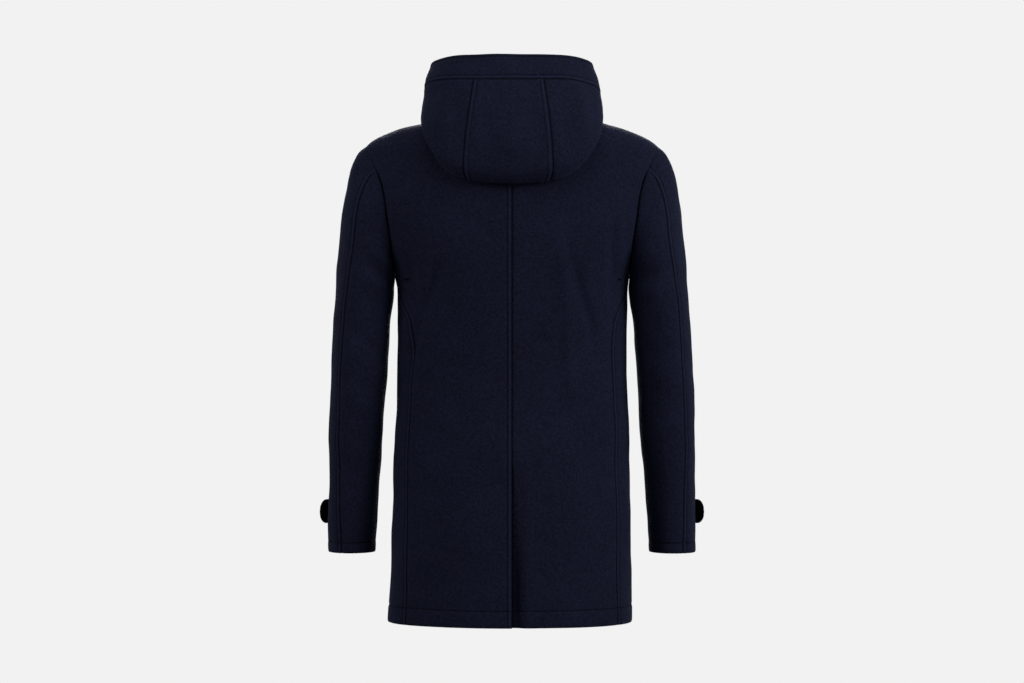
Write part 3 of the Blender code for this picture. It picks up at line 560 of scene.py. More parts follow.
def cloth(name, node, points, finish, outward, borders, relief=None, wall=CLOTH_WALL):
    """borders says for each of left, right, top and bottom what it is (seam or edge) and where its stitches run.
    """
    normal = grid_normals(points)
    if (normal * outward(points)).sum() < 0.0:
        normal = -normal
    distance = border_distances(points)
    height, gaps = press(points, distance, borders)
    if relief:
        height = height + relief(points)
    placed = points + normal * height[..., None]
    mesh = panel_mesh(name, points, placed, gaps, outward)
    mesh.materials.append(finish)
    piece = bpy.data.objects.new(name, mesh)
    bpy.context.scene.collection.objects.link(piece)
    thickness = piece.modifiers.new("wall", "SOLIDIFY")
    thickness.thickness = wall
    thickness.offset = -1.0
    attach(piece, "root")
    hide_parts(node)
    for border, (_, stitch) in borders.items():
        if stitch:
            THREAD_LINES[name + "_" + border] = thread_line(placed, normal, distance[border], border, stitch)


def thread_line(placed, normal, distance, border, stitch):
    """Points and directions out of the cloth along one line of topstitching."""
    if border in ("left", "right"):
        nearest = np.argmin(np.abs(distance - stitch), axis=0)
        pick = [(i, j) for j, i in enumerate(nearest)]
    else:
        nearest = np.argmin(np.abs(distance - stitch), axis=1)
        pick = list(enumerate(nearest))
    return [(placed[i, j], normal[i, j]) for i, j in pick]


# %% [markdown]
# ## Navy wool
# The cloth is a milled wool melton: a fine twill, almost hidden under a short felted nap that catches light
# at grazing angles. An image of cloth would repeat and blur, so the twill is a fine diagonal wave along the
# pattern's own UV, the nap is fine noise in colour and bump, slow noise makes the dye uneven, and sheen
# lights the rims. The stored distances to the seams and stitches darken their valleys with painted shade,
# and a painted highlight lightens the ridge between a seam and its stitches.

# %% Node helpers
def node(tree, kind, links=None, **settings):
    """Add a shader node, set its sockets and properties, and link its inputs."""
    made = tree.nodes.new(kind)
    for key, value in settings.items():
        if key in made.inputs:
            made.inputs[key].default_value = value
        else:
            setattr(made, key, value)
    for key, source in (links or {}).items():
        tree.links.new(source, made.inputs[key])
    return made


def ramp(tree, source, low, high, first, second):
    """Map a grey value between two levels onto two colours."""
    made = node(tree, "ShaderNodeValToRGB", {"Fac": source})
    made.color_ramp.elements[0].position = low
    made.color_ramp.elements[0].color = (*first, 1.0)
    made.color_ramp.elements[1].position = high
    made.color_ramp.elements[1].color = (*second, 1.0)
    return made.outputs["Color"]


def math_node(tree, operation, first, second=None, third=None):
    made = tree.nodes.new("ShaderNodeMath")
    made.operation = operation
    for socket, value in zip(made.inputs, (first, second, third)):
        if value is None:
            continue
        if isinstance(value, (int, float)):
            socket.default_value = value
        else:
            tree.links.new(value, socket)
    return made.outputs[0]


def near_line(tree, name, reach):
    """1 on a stored line, falling to 0 at this distance from it."""
    stored = node(tree, "ShaderNodeAttribute", attribute_name=name)
    share = math_node(tree, "DIVIDE", stored.outputs["Fac"], reach)
    return math_node(tree, "MAXIMUM", math_node(tree, "SUBTRACT", 1.0, share), 0.0)


def raise_surface(tree, shader, height, strength, distance):
    bump = node(tree, "ShaderNodeBump", {"Height": height}, Strength=strength, Distance=distance)
    tree.links.new(bump.outputs["Normal"], shader.inputs["Normal"])


# %% Wool material
WOOL_DARK = (0.0005, 0.0006, 0.0017)
WOOL_LIGHT = (0.0026, 0.0032, 0.0082)
TWILL_SCALE = 300.0         # a twill line about every millimetre
NAP_SCALE = 900.0           # single fibres
TUFT_SCALE = 260.0          # tufts of the milled nap, a few millimetres apart
DYE_SCALE = 9.0             # slow unevenness of the dye


def wool_material(name, dark, light, sheen=0.012):
    made, tree, shader = new_material(name, 0.92, 0.02)
    shader.inputs["Sheen Weight"].default_value = sheen
    shader.inputs["Sheen Roughness"].default_value = 0.45
    shader.inputs["Sheen Tint"].default_value = (0.32, 0.46, 1.0, 1.0)
    pattern = node(tree, "ShaderNodeUVMap", uv_map="pattern").outputs["UV"]
    place = node(tree, "ShaderNodeTexCoord").outputs["Object"]
    twill = node(tree, "ShaderNodeTexWave", {"Vector": pattern}, bands_direction="DIAGONAL",
                 Scale=TWILL_SCALE, Distortion=1.2, Detail=2.0)
    nap = node(tree, "ShaderNodeTexNoise", {"Vector": place}, Scale=NAP_SCALE, Detail=3.0, Roughness=0.7)
    tufts = node(tree, "ShaderNodeTexNoise", {"Vector": place}, Scale=TUFT_SCALE, Detail=4.0, Roughness=0.75)
    dye = node(tree, "ShaderNodeTexNoise", {"Vector": place}, Scale=DYE_SCALE, Detail=3.0, Roughness=0.6)
    tone = math_node(tree, "MULTIPLY_ADD", twill.outputs["Fac"], 0.12, 0.0)
    tone = math_node(tree, "MULTIPLY_ADD", nap.outputs["Fac"], 0.45, tone)
    tone = math_node(tree, "MULTIPLY_ADD", tufts.outputs["Fac"], 1.60, tone)
    tone = math_node(tree, "SUBTRACT", tone, 0.575)
    tone = math_node(tree, "MULTIPLY_ADD", dye.outputs["Fac"], 0.30, tone)
    # Painted shade: the wool is darkened in each seam's valley and in each stitch line's groove.
    seam = near_line(tree, "to_seam", 0.0024)
    stitch = near_line(tree, "to_stitch", 0.0016)
    shade = math_node(tree, "MAXIMUM", math_node(tree, "MULTIPLY", seam, 0.70),
                      math_node(tree, "MULTIPLY", stitch, 0.50))
    tone = math_node(tree, "SUBTRACT", tone, shade)
    # Painted highlight: the ridge between a seam and its stitches is lightened.
    tone = math_node(tree, "MULTIPLY_ADD", near_line(tree, "to_ridge", 0.0024), 0.42, tone)
    tree.links.new(ramp(tree, tone, 0.28, 1.02, dark, light), shader.inputs["Base Color"])
    height = math_node(tree, "MULTIPLY_ADD", twill.outputs["Fac"], 0.25, 0.0)
    height = math_node(tree, "MULTIPLY_ADD", nap.outputs["Fac"], 0.55, height)
    height = math_node(tree, "MULTIPLY_ADD", tufts.outputs["Fac"], 1.20, height)
    height = math_node(tree, "SUBTRACT", height, math_node(tree, "MULTIPLY", stitch, 0.8))
    raise_surface(tree, shader, height, 0.55, 0.0007)
    return made


wool = wool_material("navy_wool", WOOL_DARK, WOOL_LIGHT)
# Painted shade: the strap's cloth is the navy wool made much darker, standing for the shade that the strap lies
# in.
shaded_strap_wool = wool_material("shaded_strap_cloth", (0.0003, 0.0004, 0.0007), (0.0012, 0.0014, 0.0024), 0.004)
print("wool made")

# %% [markdown]
# ## Back panels
# The back is two long panels with a middle seam, shaped at the side seams, which swing well round to the
# back. Its rows run from the neck, round the armhole, down to the hem, so one grid takes in all of its
# corners. The seam is topstitched on the wearer's left and ends in a vent, where the left panel laps over
# the right.

# %% Rows of the body panels
FRONT_OVERLAP = 0.032       # each front goes this far past the middle
FRONT_STEP = 0.0042         # the right front dips this far to pass under the left one
VENT_TOP_Z = -0.567
VENT_DROP = 0.009           # the inner end of the underlap's slanted top is lower than the outer end
VENT_WIDTH = 0.040
VENT_STEP = 0.0040          # how far the lower layer of the vent lies in, at its top and at the hem
VENT_STEP_HEM = 0.0085
BACK_TURNS = (18.0, 36.0, SLEEVE_BACK_TURN, 70.0, 88.0, 106.0, 124.0, 144.0, 162.0, 180.0)
FRONT_TURNS = (-18.0, -36.0, -54.0, -72.0, -92.0, -113.0, SLEEVE_FRONT_TURN, -158.0, -180.0)


def outward_from_middle(points):
    """Away from the upright line through the coat."""
    away = np.array(points, dtype=float)
    away[..., 2] = 0.0
    return away


def armhole_turn_at(row, turns):
    full = [0.0, *turns]
    return float(np.interp((row - 1.0) * len(turns), range(len(full)), full))


def outer_border(row, turns):
    """Border of a body panel away from the middle: shoulder seam, armhole, side seam. Gives angle, height."""
    if row <= 1.0:
        return 90.0, mix(NECK_TOP_Z, ARMHOLE_TOP_Z, row)
    if row <= 2.0:
        point = armhole_point(armhole_turn_at(row, turns))
        return body_angle(point), point.z
    height = mix(ARMHOLE_LOW_Z, HEM_Z, row - 2.0)
    return side_seam_angle(height), height


# Height of a panel's rows at its middle edge, below the neck
middle_back_height = smooth_through(((1.0, -0.055), (2.0, -0.272), (2.5, -0.530), (3.0, HEM_Z)))
middle_front_height = smooth_through(((1.0, -0.108), (2.0, -0.278), (2.5, -0.530), (3.0, HEM_Z)))
# Rows climb to the border within this many degrees, and bend away from the armhole at its top and foot
ROW_RISE_ANGLE = 67.5
row_bend = smooth_through(((1.0, 0.012), (1.5, 0.0), (1.8, 0.0), (2.0, -0.007), (2.2, 0.0), (3.0, 0.0)))
LAP_PART = 0.09


def spread(part, start, end):
    """Turn at this part of a row's width. A front's first column is its lap past the centre."""
    if start < 180.0:
        return mix(start, end, part)
    if part < LAP_PART:
        return mix(start, 180.0, part / LAP_PART)
    return mix(180.0, end, (part - LAP_PART) / (1.0 - LAP_PART))


def row_spot(part, row, start, turns, middle_height):
    """Body angle and height at this part of a row's width, from the middle edge's angle to the border."""
    border_angle, border_height = outer_border(row, turns)
    angle = spread(part, start, border_angle)
    if start < 180.0:
        inside, whole = angle, border_angle
    else:
        inside, whole = max(180.0 - angle, 0.0), 180.0 - border_angle
    rise = ease(0.0, ROW_RISE_ANGLE, inside) / ease(0.0, ROW_RISE_ANGLE, whole)
    bend = row_bend(row) * math.sin(math.pi * (inside / whole) ** 3)
    return angle, mix(middle_height(row), border_height, rise) + bend


def panel_spot(part, row, start, neck_start, turns, middle_height):
    """As row_spot, but the rows above the armhole run over to the neck's oval."""
    if row >= 1.0:
        return row_spot(part, row, start, turns, middle_height)
    low = row_spot(part, 1.0, start, turns, middle_height)
    neck = neck_spot(spread(part, neck_start, 90.0))
    return mix(neck[0], low[0], row), mix(neck[1], low[1], row)


def vent_step(height):
    """How far in the vent's lower layer lies: nothing above the vent, most at the hem."""
    started = ease(0.0, 0.030, VENT_TOP_Z + 0.030 - height)
    return started * mix(VENT_STEP, VENT_STEP_HEM, ease(0.0, VENT_TOP_Z - HEM_Z, VENT_TOP_Z - height))


# %% Folds of the body
# height, reach, line of (across, up) in metres; the wearer's left is +
BACK_FOLDS = (
    (-0.0052, 0.0095, ((0.166, -0.215), (0.158, -0.270), (0.147, -0.325))),
    (-0.0048, 0.0090, ((0.106, -0.195), (0.120, -0.250), (0.148, -0.322), (0.166, -0.400), (0.172, -0.440))),
    (0.0026, 0.0110, ((0.140, -0.225), (0.139, -0.285))),
    (-0.0022, 0.0280, ((0.066, -0.410), (0.100, -0.480), (0.140, -0.560))),
    (0.0026, 0.0120, ((0.179, -0.335), (0.180, -0.375), (0.178, -0.425))),
    (0.0018, 0.0140, ((0.150, -0.450), (0.158, -0.560), (0.150, -0.700))),
    (-0.0020, 0.0180, ((0.060, -0.140), (0.090, -0.180), (0.110, -0.215))),
    (-0.0042, 0.0090, ((-0.093, -0.205), (-0.110, -0.280), (-0.125, -0.320), (-0.131, -0.385))),
    (0.0032, 0.0100,
     ((-0.075, -0.195), (-0.084, -0.265), (-0.090, -0.330), (-0.090, -0.400), (-0.101, -0.470))),
    (-0.0036, 0.0080, ((-0.160, -0.140), (-0.160, -0.230), (-0.158, -0.320))),
    (-0.0016, 0.0090, ((-0.026, -0.349), (-0.060, -0.353), (-0.092, -0.350))),
    (-0.0020, 0.0260, ((-0.060, -0.420), (-0.100, -0.500), (-0.130, -0.580))),
    (0.0020, 0.0150, ((-0.150, -0.400), (-0.156, -0.520), (-0.150, -0.680))),
    (-0.0018, 0.0180, ((-0.070, -0.130), (-0.090, -0.170), (-0.095, -0.210))),
)
FRONT_FOLDS = (
    (-0.0040, 0.0110, ((0.160, -0.200), (0.130, -0.250), (0.105, -0.330))),
    (-0.0030, 0.0120, ((0.165, -0.120), (0.120, -0.115), (0.085, -0.128))),
    (0.0024, 0.0140, ((0.120, -0.200), (0.095, -0.280), (0.090, -0.390))),
    (-0.0024, 0.0220, ((0.070, -0.430), (0.110, -0.540), (0.120, -0.660))),
    (0.0020, 0.0180, ((0.160, -0.420), (0.150, -0.560), (0.152, -0.720))),
    (-0.0022, 0.0130, ((0.060, -0.265), (0.100, -0.275), (0.140, -0.262))),
)

ARMHOLE_CALM = 0.016        # no folds or waves this near an armhole
ARMHOLES = np.array([armhole_point(turn, side) for side in (1, -1) for turn in range(-180, 181, 3)])


def armhole_fade(points):
    """0 at the armholes, so that body and sleeve meet there, and 1 from a finger's width away."""
    gap = [np.linalg.norm(ARMHOLES - point, axis=-1).min() for point in points.reshape(-1, 3)]
    return np.clip(np.array(gap) / ARMHOLE_CALM, 0.0, 1.0).reshape(points.shape[:-1])


def shared_waves(points):
    """Slow unevenness that runs on from one piece to the next."""
    return uneven(points, 0.085, 0.0030) + uneven(points, 0.030, 0.0008, 5.0)


def body_relief(points):
    """The folds of the body, slow unevenness, and a hem that waves a little. Both sides of a seam agree."""
    up = points[..., 2]
    behind = np.clip(points[..., 1] / 0.05, 0.0, 1.0)
    before = np.clip(-points[..., 1] / 0.05, 0.0, 1.0)
    height = fold_relief(np.stack([points[..., 0], up], axis=-1), BACK_FOLDS) * behind
    height += fold_relief(np.stack([np.abs(points[..., 0]), up], axis=-1), FRONT_FOLDS) * before
    low = np.clip((VENT_TOP_Z - up) / 0.25, 0.0, 1.0)
    hem_wave = 0.0025 * low * np.sin(points[..., 0] * 38.0)
    return (height + shared_waves(points)) * armhole_fade(points) + hem_wave


print("folds", len(BACK_FOLDS) + len(FRONT_FOLDS))

# %% Make the back
def back_place(side):
    def place(part, row):
        angle, height = panel_spot(part, row, 0.0, 0.0, BACK_TURNS, middle_back_height)
        point = body_point(angle, height, side)
        fade = 1.0 - ease(0.002, 0.026, abs(point.x))
        if side < 0:
            point = point - body_normal(point) * vent_step(point.z) * fade
        return point
    return place


VENT_BAR = ((0.0485, -0.5795), (0.0060, -0.5700))   # ends of the slanted row of stitches: across, up


def vent_lift(points):
    """The vent's upper edge stands off the lower layer towards the hem."""
    low = np.clip((VENT_TOP_Z - points[..., 2]) / (VENT_TOP_Z - HEM_Z), 0.0, 1.0)
    return 0.0030 * low * np.exp(-(points[..., 0] / 0.020) ** 2)


def vent_dip(points):
    """The lower layer sinks beside the vent's edge, more towards the hem, and rises in a ridge beyond."""
    low = np.clip((VENT_TOP_Z + 0.012 - points[..., 2]) / 0.20, 0.0, 1.0)
    sunk = 0.0030 * low * np.exp(-((points[..., 0] + 0.004) / 0.010) ** 2)
    return 0.0022 * low * np.exp(-((points[..., 0] + 0.027) / 0.011) ** 2) - sunk


def vent_bar(points):
    """The slanted row of stitches that holds the vent's top."""
    start, end = np.array(VENT_BAR[0]), np.array(VENT_BAR[1])
    way = end - start
    spots = points[..., [0, 2]]
    share = np.clip(((spots - start) @ way) / (way @ way), 0.0, 1.0)
    gap = np.linalg.norm(spots - (start + share[..., None] * way), axis=-1)
    return -0.0010 * np.exp(-(gap / 0.0020) ** 2)


def make_back():
    for side, word in ((1, "left"), (-1, "right")):
        place = back_place(side)
        rows = panel_stations(place, 0.5, 0.0, 3.0, EDGE_STEPS, HEM_STEPS, keep=(1.0, 2.0))
        points = row_places(place, rows, EDGE_STEPS, EDGE_STEPS, (0.0, 1.0))

        def relief(at, left=side > 0):
            return body_relief(at) + (vent_lift(at) + vent_bar(at) if left else vent_dip(at))

        borders = {"left": ("seam", TOPSTITCH if side > 0 else None), "right": ("seam", None),
                   "top": ("seam", None), "bottom": ("edge", HEM_STITCH)}
        cloth("cloth_back_" + word, "back_" + word, points, wool, outward_from_middle, borders,
              relief)


make_back()

# %% Vent underlap
def underlap_place(part, row):
    """The strip behind the vent's edge, level with the lower layer of the right back."""
    across = mix(0.0, VENT_WIDTH, part)
    top = VENT_TOP_Z - 0.012 - VENT_DROP * part
    height = mix(top, HEM_Z, row)
    point = Vector((across, body_depth_at(across, height), height))
    return point - body_normal(point) * (vent_step(height) + 0.0006)


def make_underlap():
    rows = panel_stations(underlap_place, 0.5, 0.0, 1.0, EDGE_STEPS, HEM_STEPS)
    points = row_places(underlap_place, rows, (0.0, 0.002), (0.0, 0.002, 0.005), (0.0, 1.0))
    cloth("cloth_vent_underlap", "vent_underlap", points, wool, outward_from_middle,
          {"top": ("edge", 0.004)}, lambda at: vent_dip(at) + body_relief(at))


make_underlap()

# %% [markdown]
# ## Fronts
# Each front is one panel from the middle to the side seam at the back. The left laps over the right, so the
# right one dips under it near the middle. The open edges are turned in and topstitched all the way down.

# %% Make the fronts
def front_place(side):
    def place(part, row):
        width = half_width(middle_front_height(max(row, 1.0)))
        past = math.degrees(math.asin((FRONT_OVERLAP / width) ** (RING_POWER / 2.0)))
        neck_past = math.degrees(math.asin(FRONT_OVERLAP / NECK_HALF_WIDTH))
        angle, height = panel_spot(part, row, 180.0 + past, 180.0 + neck_past, FRONT_TURNS,
                                   middle_front_height)
        point = body_point(angle, height, side)
        if side < 0:
            point = point - body_normal(point) * FRONT_STEP * (1.0 - ease(0.036, 0.062, side * point.x))
        return point
    return place


def make_fronts():
    for side, word in ((1, "left"), (-1, "right")):
        place = front_place(side)
        rows = panel_stations(place, 0.5, 0.0, 3.0, EDGE_STEPS, HEM_STEPS, keep=(1.0, 2.0))
        points = row_places(place, rows, EDGE_STEPS, EDGE_STEPS, (0.0, 1.0))
        borders = {"left": ("edge", TOPSTITCH), "right": ("seam", TOPSTITCH),
                   "top": ("seam", None), "bottom": ("edge", HEM_STITCH)}
        cloth("cloth_front_" + word, "front_" + word, points, wool, outward_from_middle, borders,
              body_relief)


make_fronts()

# %% [markdown]
# ## Sleeves
# A coat sleeve has two pieces, a wide top and a narrow under sleeve, so that it can bend forward at the
# elbow. The rows fan out of the armhole and lie level below it. The cap is a little full, and the underarm
# creases where the sleeve hangs down from an armhole that is cut for a raised arm.

# %% Rows and creases of the sleeves
# Outer and inner edge of the sleeve: height, distance from the middle
SLEEVE_OUTER = (
    (-0.036, 0.2350), (-0.042, 0.2430), (-0.058, 0.2540), (-0.075, 0.2610), (-0.107, 0.2680),
    (-0.155, 0.2735), (-0.204, 0.2786), (-0.253, 0.2832), (-0.285, 0.2865), (-0.350, 0.2900),
    (-0.447, 0.2948), (-0.544, 0.2978), (-0.610, 0.2982), (CUFF_Z, 0.2966),
)
SLEEVE_INNER = (
    (-0.245, 0.1900), (-0.265, 0.1902), (-0.285, 0.1912), (-0.3175, 0.1960), (-0.350, 0.1978),
    (-0.447, 0.2057), (-0.544, 0.2120), (-0.610, 0.2170), (CUFF_Z, 0.2218),
)
# Down the sleeve: length (0 armhole, 1 where the rings lie flat, 2 cuff), half depth, how far forward it
# hangs, and how far the back seam turns from where it starts
SLEEVE_RINGS = (
    (0.00, 0.0730, 0.001, 0.0),
    (0.30, 0.0760, 0.001, 5.0),
    (0.60, 0.0770, 0.001, 10.0),
    (1.00, 0.0750, 0.002, 5.5),
    (1.40, 0.0680, 0.008, 2.0),
    (1.63, 0.0630, 0.013, 5.0),
    (1.80, 0.0595, 0.017, 10.0),
    (2.00, 0.0555, 0.022, 14.0),
)
FAN_LOW_Z = -0.285          # the rings lie flat from here down
FAN_POWER = 1.5             # the rings crowd towards the armhole

sleeve_outer = smooth_through(SLEEVE_OUTER)
sleeve_inner = smooth_through(SLEEVE_INNER)
sleeve_half_depth = smooth_through(SLEEVE_RINGS, 1)
sleeve_forward = smooth_through(SLEEVE_RINGS, 2)
back_seam_shift = smooth_through(SLEEVE_RINGS, 3)


def sleeve_edge_heights(length):
    if length <= 1.0:
        fan = length ** FAN_POWER
        return mix(ARMHOLE_TOP_Z, FAN_LOW_Z, fan), mix(ARMHOLE_LOW_Z, FAN_LOW_Z, length)
    level = mix(FAN_LOW_Z, CUFF_Z, length - 1.0)
    return level, level


def sleeve_turn(turn, length):
    """The grid's lines follow the back seam as it turns down the sleeve."""
    weight = ease(-60.0, SLEEVE_BACK_TURN, turn) - ease(SLEEVE_BACK_TURN, 180.0, turn)
    return turn + back_seam_shift(length) * weight


def sleeve_point(turn, length, side=1):
    high, low = sleeve_edge_heights(length)
    outer = Vector((sleeve_outer(high), -sleeve_forward(length), high))
    inner = Vector((sleeve_inner(low), -sleeve_forward(length), low))
    angle = math.radians(sleeve_turn(turn, length))
    along = signed_power(math.cos(angle), 2.0 / SLEEVE_POWER)
    across = signed_power(math.sin(angle), 2.0 / SLEEVE_POWER)
    point = (outer + inner) / 2.0 + (outer - inner) / 2.0 * along
    point.y += sleeve_half_depth(length) * across
    if length < 1.0:
        wrapped = turn - 360.0 if turn > 180.0 else turn
        start_outer = Vector((sleeve_outer(ARMHOLE_TOP_Z), -sleeve_forward(0.0), ARMHOLE_TOP_Z))
        start_inner = Vector((sleeve_inner(ARMHOLE_LOW_Z), -sleeve_forward(0.0), ARMHOLE_LOW_Z))
        flat = math.radians(turn)
        start = (start_outer + start_inner) / 2.0
        start += (start_outer - start_inner) / 2.0 * signed_power(math.cos(flat), 2.0 / SLEEVE_POWER)
        start.y += sleeve_half_depth(0.0) * signed_power(math.sin(flat), 2.0 / SLEEVE_POWER)
        point += (armhole_point(wrapped) - start) * (1.0 - length) ** 2
    point.x *= side
    return point


def sleeve_normal(turn, length, side=1):
    around = sleeve_point(turn + 2.0, length, side) - sleeve_point(turn - 2.0, length, side)
    low = max(length - 0.01, 0.0)
    high = min(length + 0.01, 2.0)
    along = sleeve_point(turn, high, side) - sleeve_point(turn, low, side)
    return (along.cross(around) * side).normalized()


SLEEVE_PARTS = (            # columns: part, turns of its two seams
    ("top", SLEEVE_FRONT_TURN, SLEEVE_BACK_TURN),
    ("under", SLEEVE_BACK_TURN, SLEEVE_FRONT_TURN + 360.0),
)
# height, reach, line of (across, up), as for the wearer's left sleeve seen from behind
SLEEVE_CREASES_LEFT = (
    (0.0048, 0.0300, ((0.260, -0.100), (0.272, -0.190), (0.276, -0.285))),
    (-0.0030, 0.0060, ((0.262, -0.085), (0.238, -0.080), (0.214, -0.074))),
    (0.0040, 0.0090, ((0.240, -0.190), (0.221, -0.206), (0.196, -0.240))),
    (-0.0050, 0.0090, ((0.236, -0.220), (0.214, -0.236), (0.197, -0.262))),
    (0.0042, 0.0090, ((0.244, -0.254), (0.210, -0.260), (0.196, -0.250))),
    (-0.0030, 0.0140, ((0.262, -0.330), (0.236, -0.352), (0.214, -0.372))),
    (0.0022, 0.0140, ((0.270, -0.420), (0.248, -0.450), (0.224, -0.470))),
    (-0.0018, 0.0180, ((0.275, -0.120), (0.268, -0.200), (0.274, -0.290))),
    (-0.0022, 0.0150, ((0.284, -0.540), (0.256, -0.556), (0.230, -0.560))),
)
SLEEVE_CREASES_RIGHT = (
    (0.0026, 0.0300, ((0.262, -0.110), (0.272, -0.190), (0.276, -0.270))),
    (-0.0022, 0.0070, ((0.250, -0.092), (0.232, -0.082), (0.214, -0.078))),
    (0.0036, 0.0100, ((0.232, -0.196), (0.212, -0.208), (0.195, -0.216))),
    (-0.0050, 0.0100, ((0.236, -0.232), (0.216, -0.246), (0.198, -0.252))),
    (0.0036, 0.0110, ((0.246, -0.268), (0.218, -0.274), (0.200, -0.268))),
    (-0.0026, 0.0150, ((0.258, -0.350), (0.234, -0.366), (0.212, -0.380))),
    (-0.0016, 0.0180, ((0.276, -0.130), (0.272, -0.220), (0.278, -0.300))),
    (0.0020, 0.0150, ((0.268, -0.470), (0.246, -0.490), (0.224, -0.500))),
)


def sleeve_relief(creases, side):
    def relief(points):
        height = fold_relief(points[..., [0, 2]] * np.array([side, 1.0]), creases) + shared_waves(points)
        return height * armhole_fade(points)
    return relief


def outward_from_sleeve(side):
    """Away from the line down the middle of a sleeve."""
    def outward(points):
        away = np.array(points, dtype=float)
        down = np.clip((ARMHOLE_TOP_Z - away[..., 2]) / (ARMHOLE_TOP_Z - CUFF_Z), 0.0, 1.0)
        away[..., 0] -= side * (0.215 + 0.045 * down)
        away[..., 1] += 0.022 * down
        away[..., 2] = np.maximum(away[..., 2] + 0.14, 0.0)
        return away
    return outward


# %% Make the sleeves
def make_sleeves():
    for side, word, creases in ((1, "left", SLEEVE_CREASES_LEFT), (-1, "right", SLEEVE_CREASES_RIGHT)):
        def place(turn, length, side=side):
            if length == 0.0:
                return armhole_point(turn - 360.0 if turn > 180.0 else turn, side)
            return sleeve_point(turn, length, side)

        relief = sleeve_relief(creases, side)
        for part, start, end in SLEEVE_PARTS:
            rows = panel_stations(place, (start + end) / 2.0, 0.0, 2.0, EDGE_STEPS, CUFF_STEPS)
            points = row_places(place, rows, EDGE_STEPS, EDGE_STEPS, (start, end))
            stitched = TOPSTITCH if part == "top" else None
            borders = {"left": ("seam", None), "right": ("seam", stitched), "top": ("seam", None),
                       "bottom": ("edge", CUFF_STITCH)}
            cloth("cloth_sleeve_" + part + "_" + word, "sleeve_" + part + "_" + word, points, wool,
                  outward_from_sleeve(side), borders, relief)


make_sleeves()

# %% [markdown]
# ## Hood
# The hood lies back in three panels and a band. Each profile leaves the neck seam, runs down the back under
# itself to its lowest fold and comes up to the rim, so the bag hangs as cloth does. Side panels and a middle
# panel meet in two topstitched seams, and the wide band runs round the opening, stitched beside its seam.

# %% Profiles of the hood
# Hood, worn down, by angle round the neck from the centre back: where its lowest fold lies over the body
# (angle on the body, height) and where its rim stands (distance from the middle, depth, height)
HOOD_PROFILES = (
    (0.0, 0.0, -0.0990, 0.0000, 0.1100, 0.1025),
    (20.0, 12.2, -0.0924, 0.0470, 0.1065, 0.1025),
    (38.0, 22.8, -0.0732, 0.0860, 0.0920, 0.1023),
    (54.0, 30.8, -0.0429, 0.1120, 0.0660, 0.1000),
    (66.0, 39.5, -0.0216, 0.1250, 0.0430, 0.0955),
    (75.0, 53.0, -0.0080, 0.1290, 0.0250, 0.0890),
    (84.0, 72.0, -0.0010, 0.1310, 0.0050, 0.0800),
    (93.0, 92.0, 0.0015, 0.1315, -0.0140, 0.0700),
    (103.0, 114.0, 0.0040, 0.1270, -0.0360, 0.0560),
    (116.0, 139.0, -0.0035, 0.1130, -0.0620, 0.0350),
    (130.0, 155.5, -0.0170, 0.0930, -0.0840, 0.0130),
    (146.0, 167.0, -0.0470, 0.0650, -0.1010, -0.0100),
    (162.0, 173.7, -0.0770, 0.0360, -0.1120, -0.0300),
    (178.0, 178.6, -0.0880, 0.0080, -0.1170, -0.0420),
)
HOOD_END_ANGLE = 176.0      # both ends stop just short of the centre front
HOOD_SEAM_LEFT = 22.5       # seams of the centre panel, degrees to each side of the centre back
HOOD_SEAM_RIGHT = 18.5
FOOT_LIFT = 0.0018          # height of the hood's neck seam over the body's neck edge
HOOD_LIFT = 0.006           # height of the hood's hidden layer over the back
BAND_SHARE = 0.75           # most of the hood's outer layer that the band takes
# The bag, by angle round the neck: how far it stands out over its fold, and the fold's height over the body
HOOD_FULLNESS = (
    (0.0, 0.046, 0.014),
    (45.0, 0.036, 0.013),
    (70.0, 0.022, 0.011),
    (90.0, 0.016, 0.009),
    (120.0, 0.018, 0.010),
    (178.0, 0.014, 0.010),
)
BAND_WIDTH = 0.044
BAND_WIDER_RIGHT = 0.009    # the band is wider round the wearer's right side

fold_angle = smooth_through(HOOD_PROFILES, 1)
fold_height = smooth_through(HOOD_PROFILES, 2)
rim_across = smooth_through(HOOD_PROFILES, 3)
rim_depth = smooth_through(HOOD_PROFILES, 4)
rim_height = smooth_through(HOOD_PROFILES, 5)
hood_fullness = smooth_through(HOOD_FULLNESS)
fold_lift = smooth_through(HOOD_FULLNESS, 2)


def hood_knots(angle):
    """Points that one profile of the hood passes: five over the body down to the fold, five up to the rim."""
    knots = []
    neck_angle, neck_height = neck_spot(angle)
    lifts = ((0.0, FOOT_LIFT), (0.16, 0.0050), (0.50, HOOD_LIFT), (0.86, HOOD_LIFT), (1.0, fold_lift(angle)))
    for part, lift in lifts:
        around = mix(neck_angle, fold_angle(angle), part)
        here = body_point(around, mix(neck_height, fold_height(angle), part))
        knots.append(here + body_normal(here) * lift)
    fold = knots[-1]
    rim = Vector((rim_across(angle), rim_depth(angle), rim_height(angle)))
    out = Vector((math.sin(math.radians(angle)), math.cos(math.radians(angle)), 0.0)) * hood_fullness(angle)
    first = fold + out
    second = mix(fold, rim, 0.66) + out * 0.55
    for part in (0.18, 0.38, 0.60, 0.80, 1.0):
        rest = 1.0 - part
        knots.append(fold * rest ** 3 + first * 3 * rest ** 2 * part
                     + second * 3 * rest * part ** 2 + rim * part ** 3)
    return knots


HOOD_SETTLE = (             # columns: height, how much narrower the hood's sides settle there
    (-0.090, 0.000), (-0.060, 0.020), (-0.030, 0.058), (0.000, 0.076), (0.020, 0.068),
    (0.040, 0.058), (0.060, 0.030), (0.070, 0.008), (0.085, -0.010), (0.100, -0.060),
)
HOOD_SETTLE_HALF_WIDTH = 0.155
HOOD_SAG = 0.008            # how far the bag's bottom hangs below the profiles


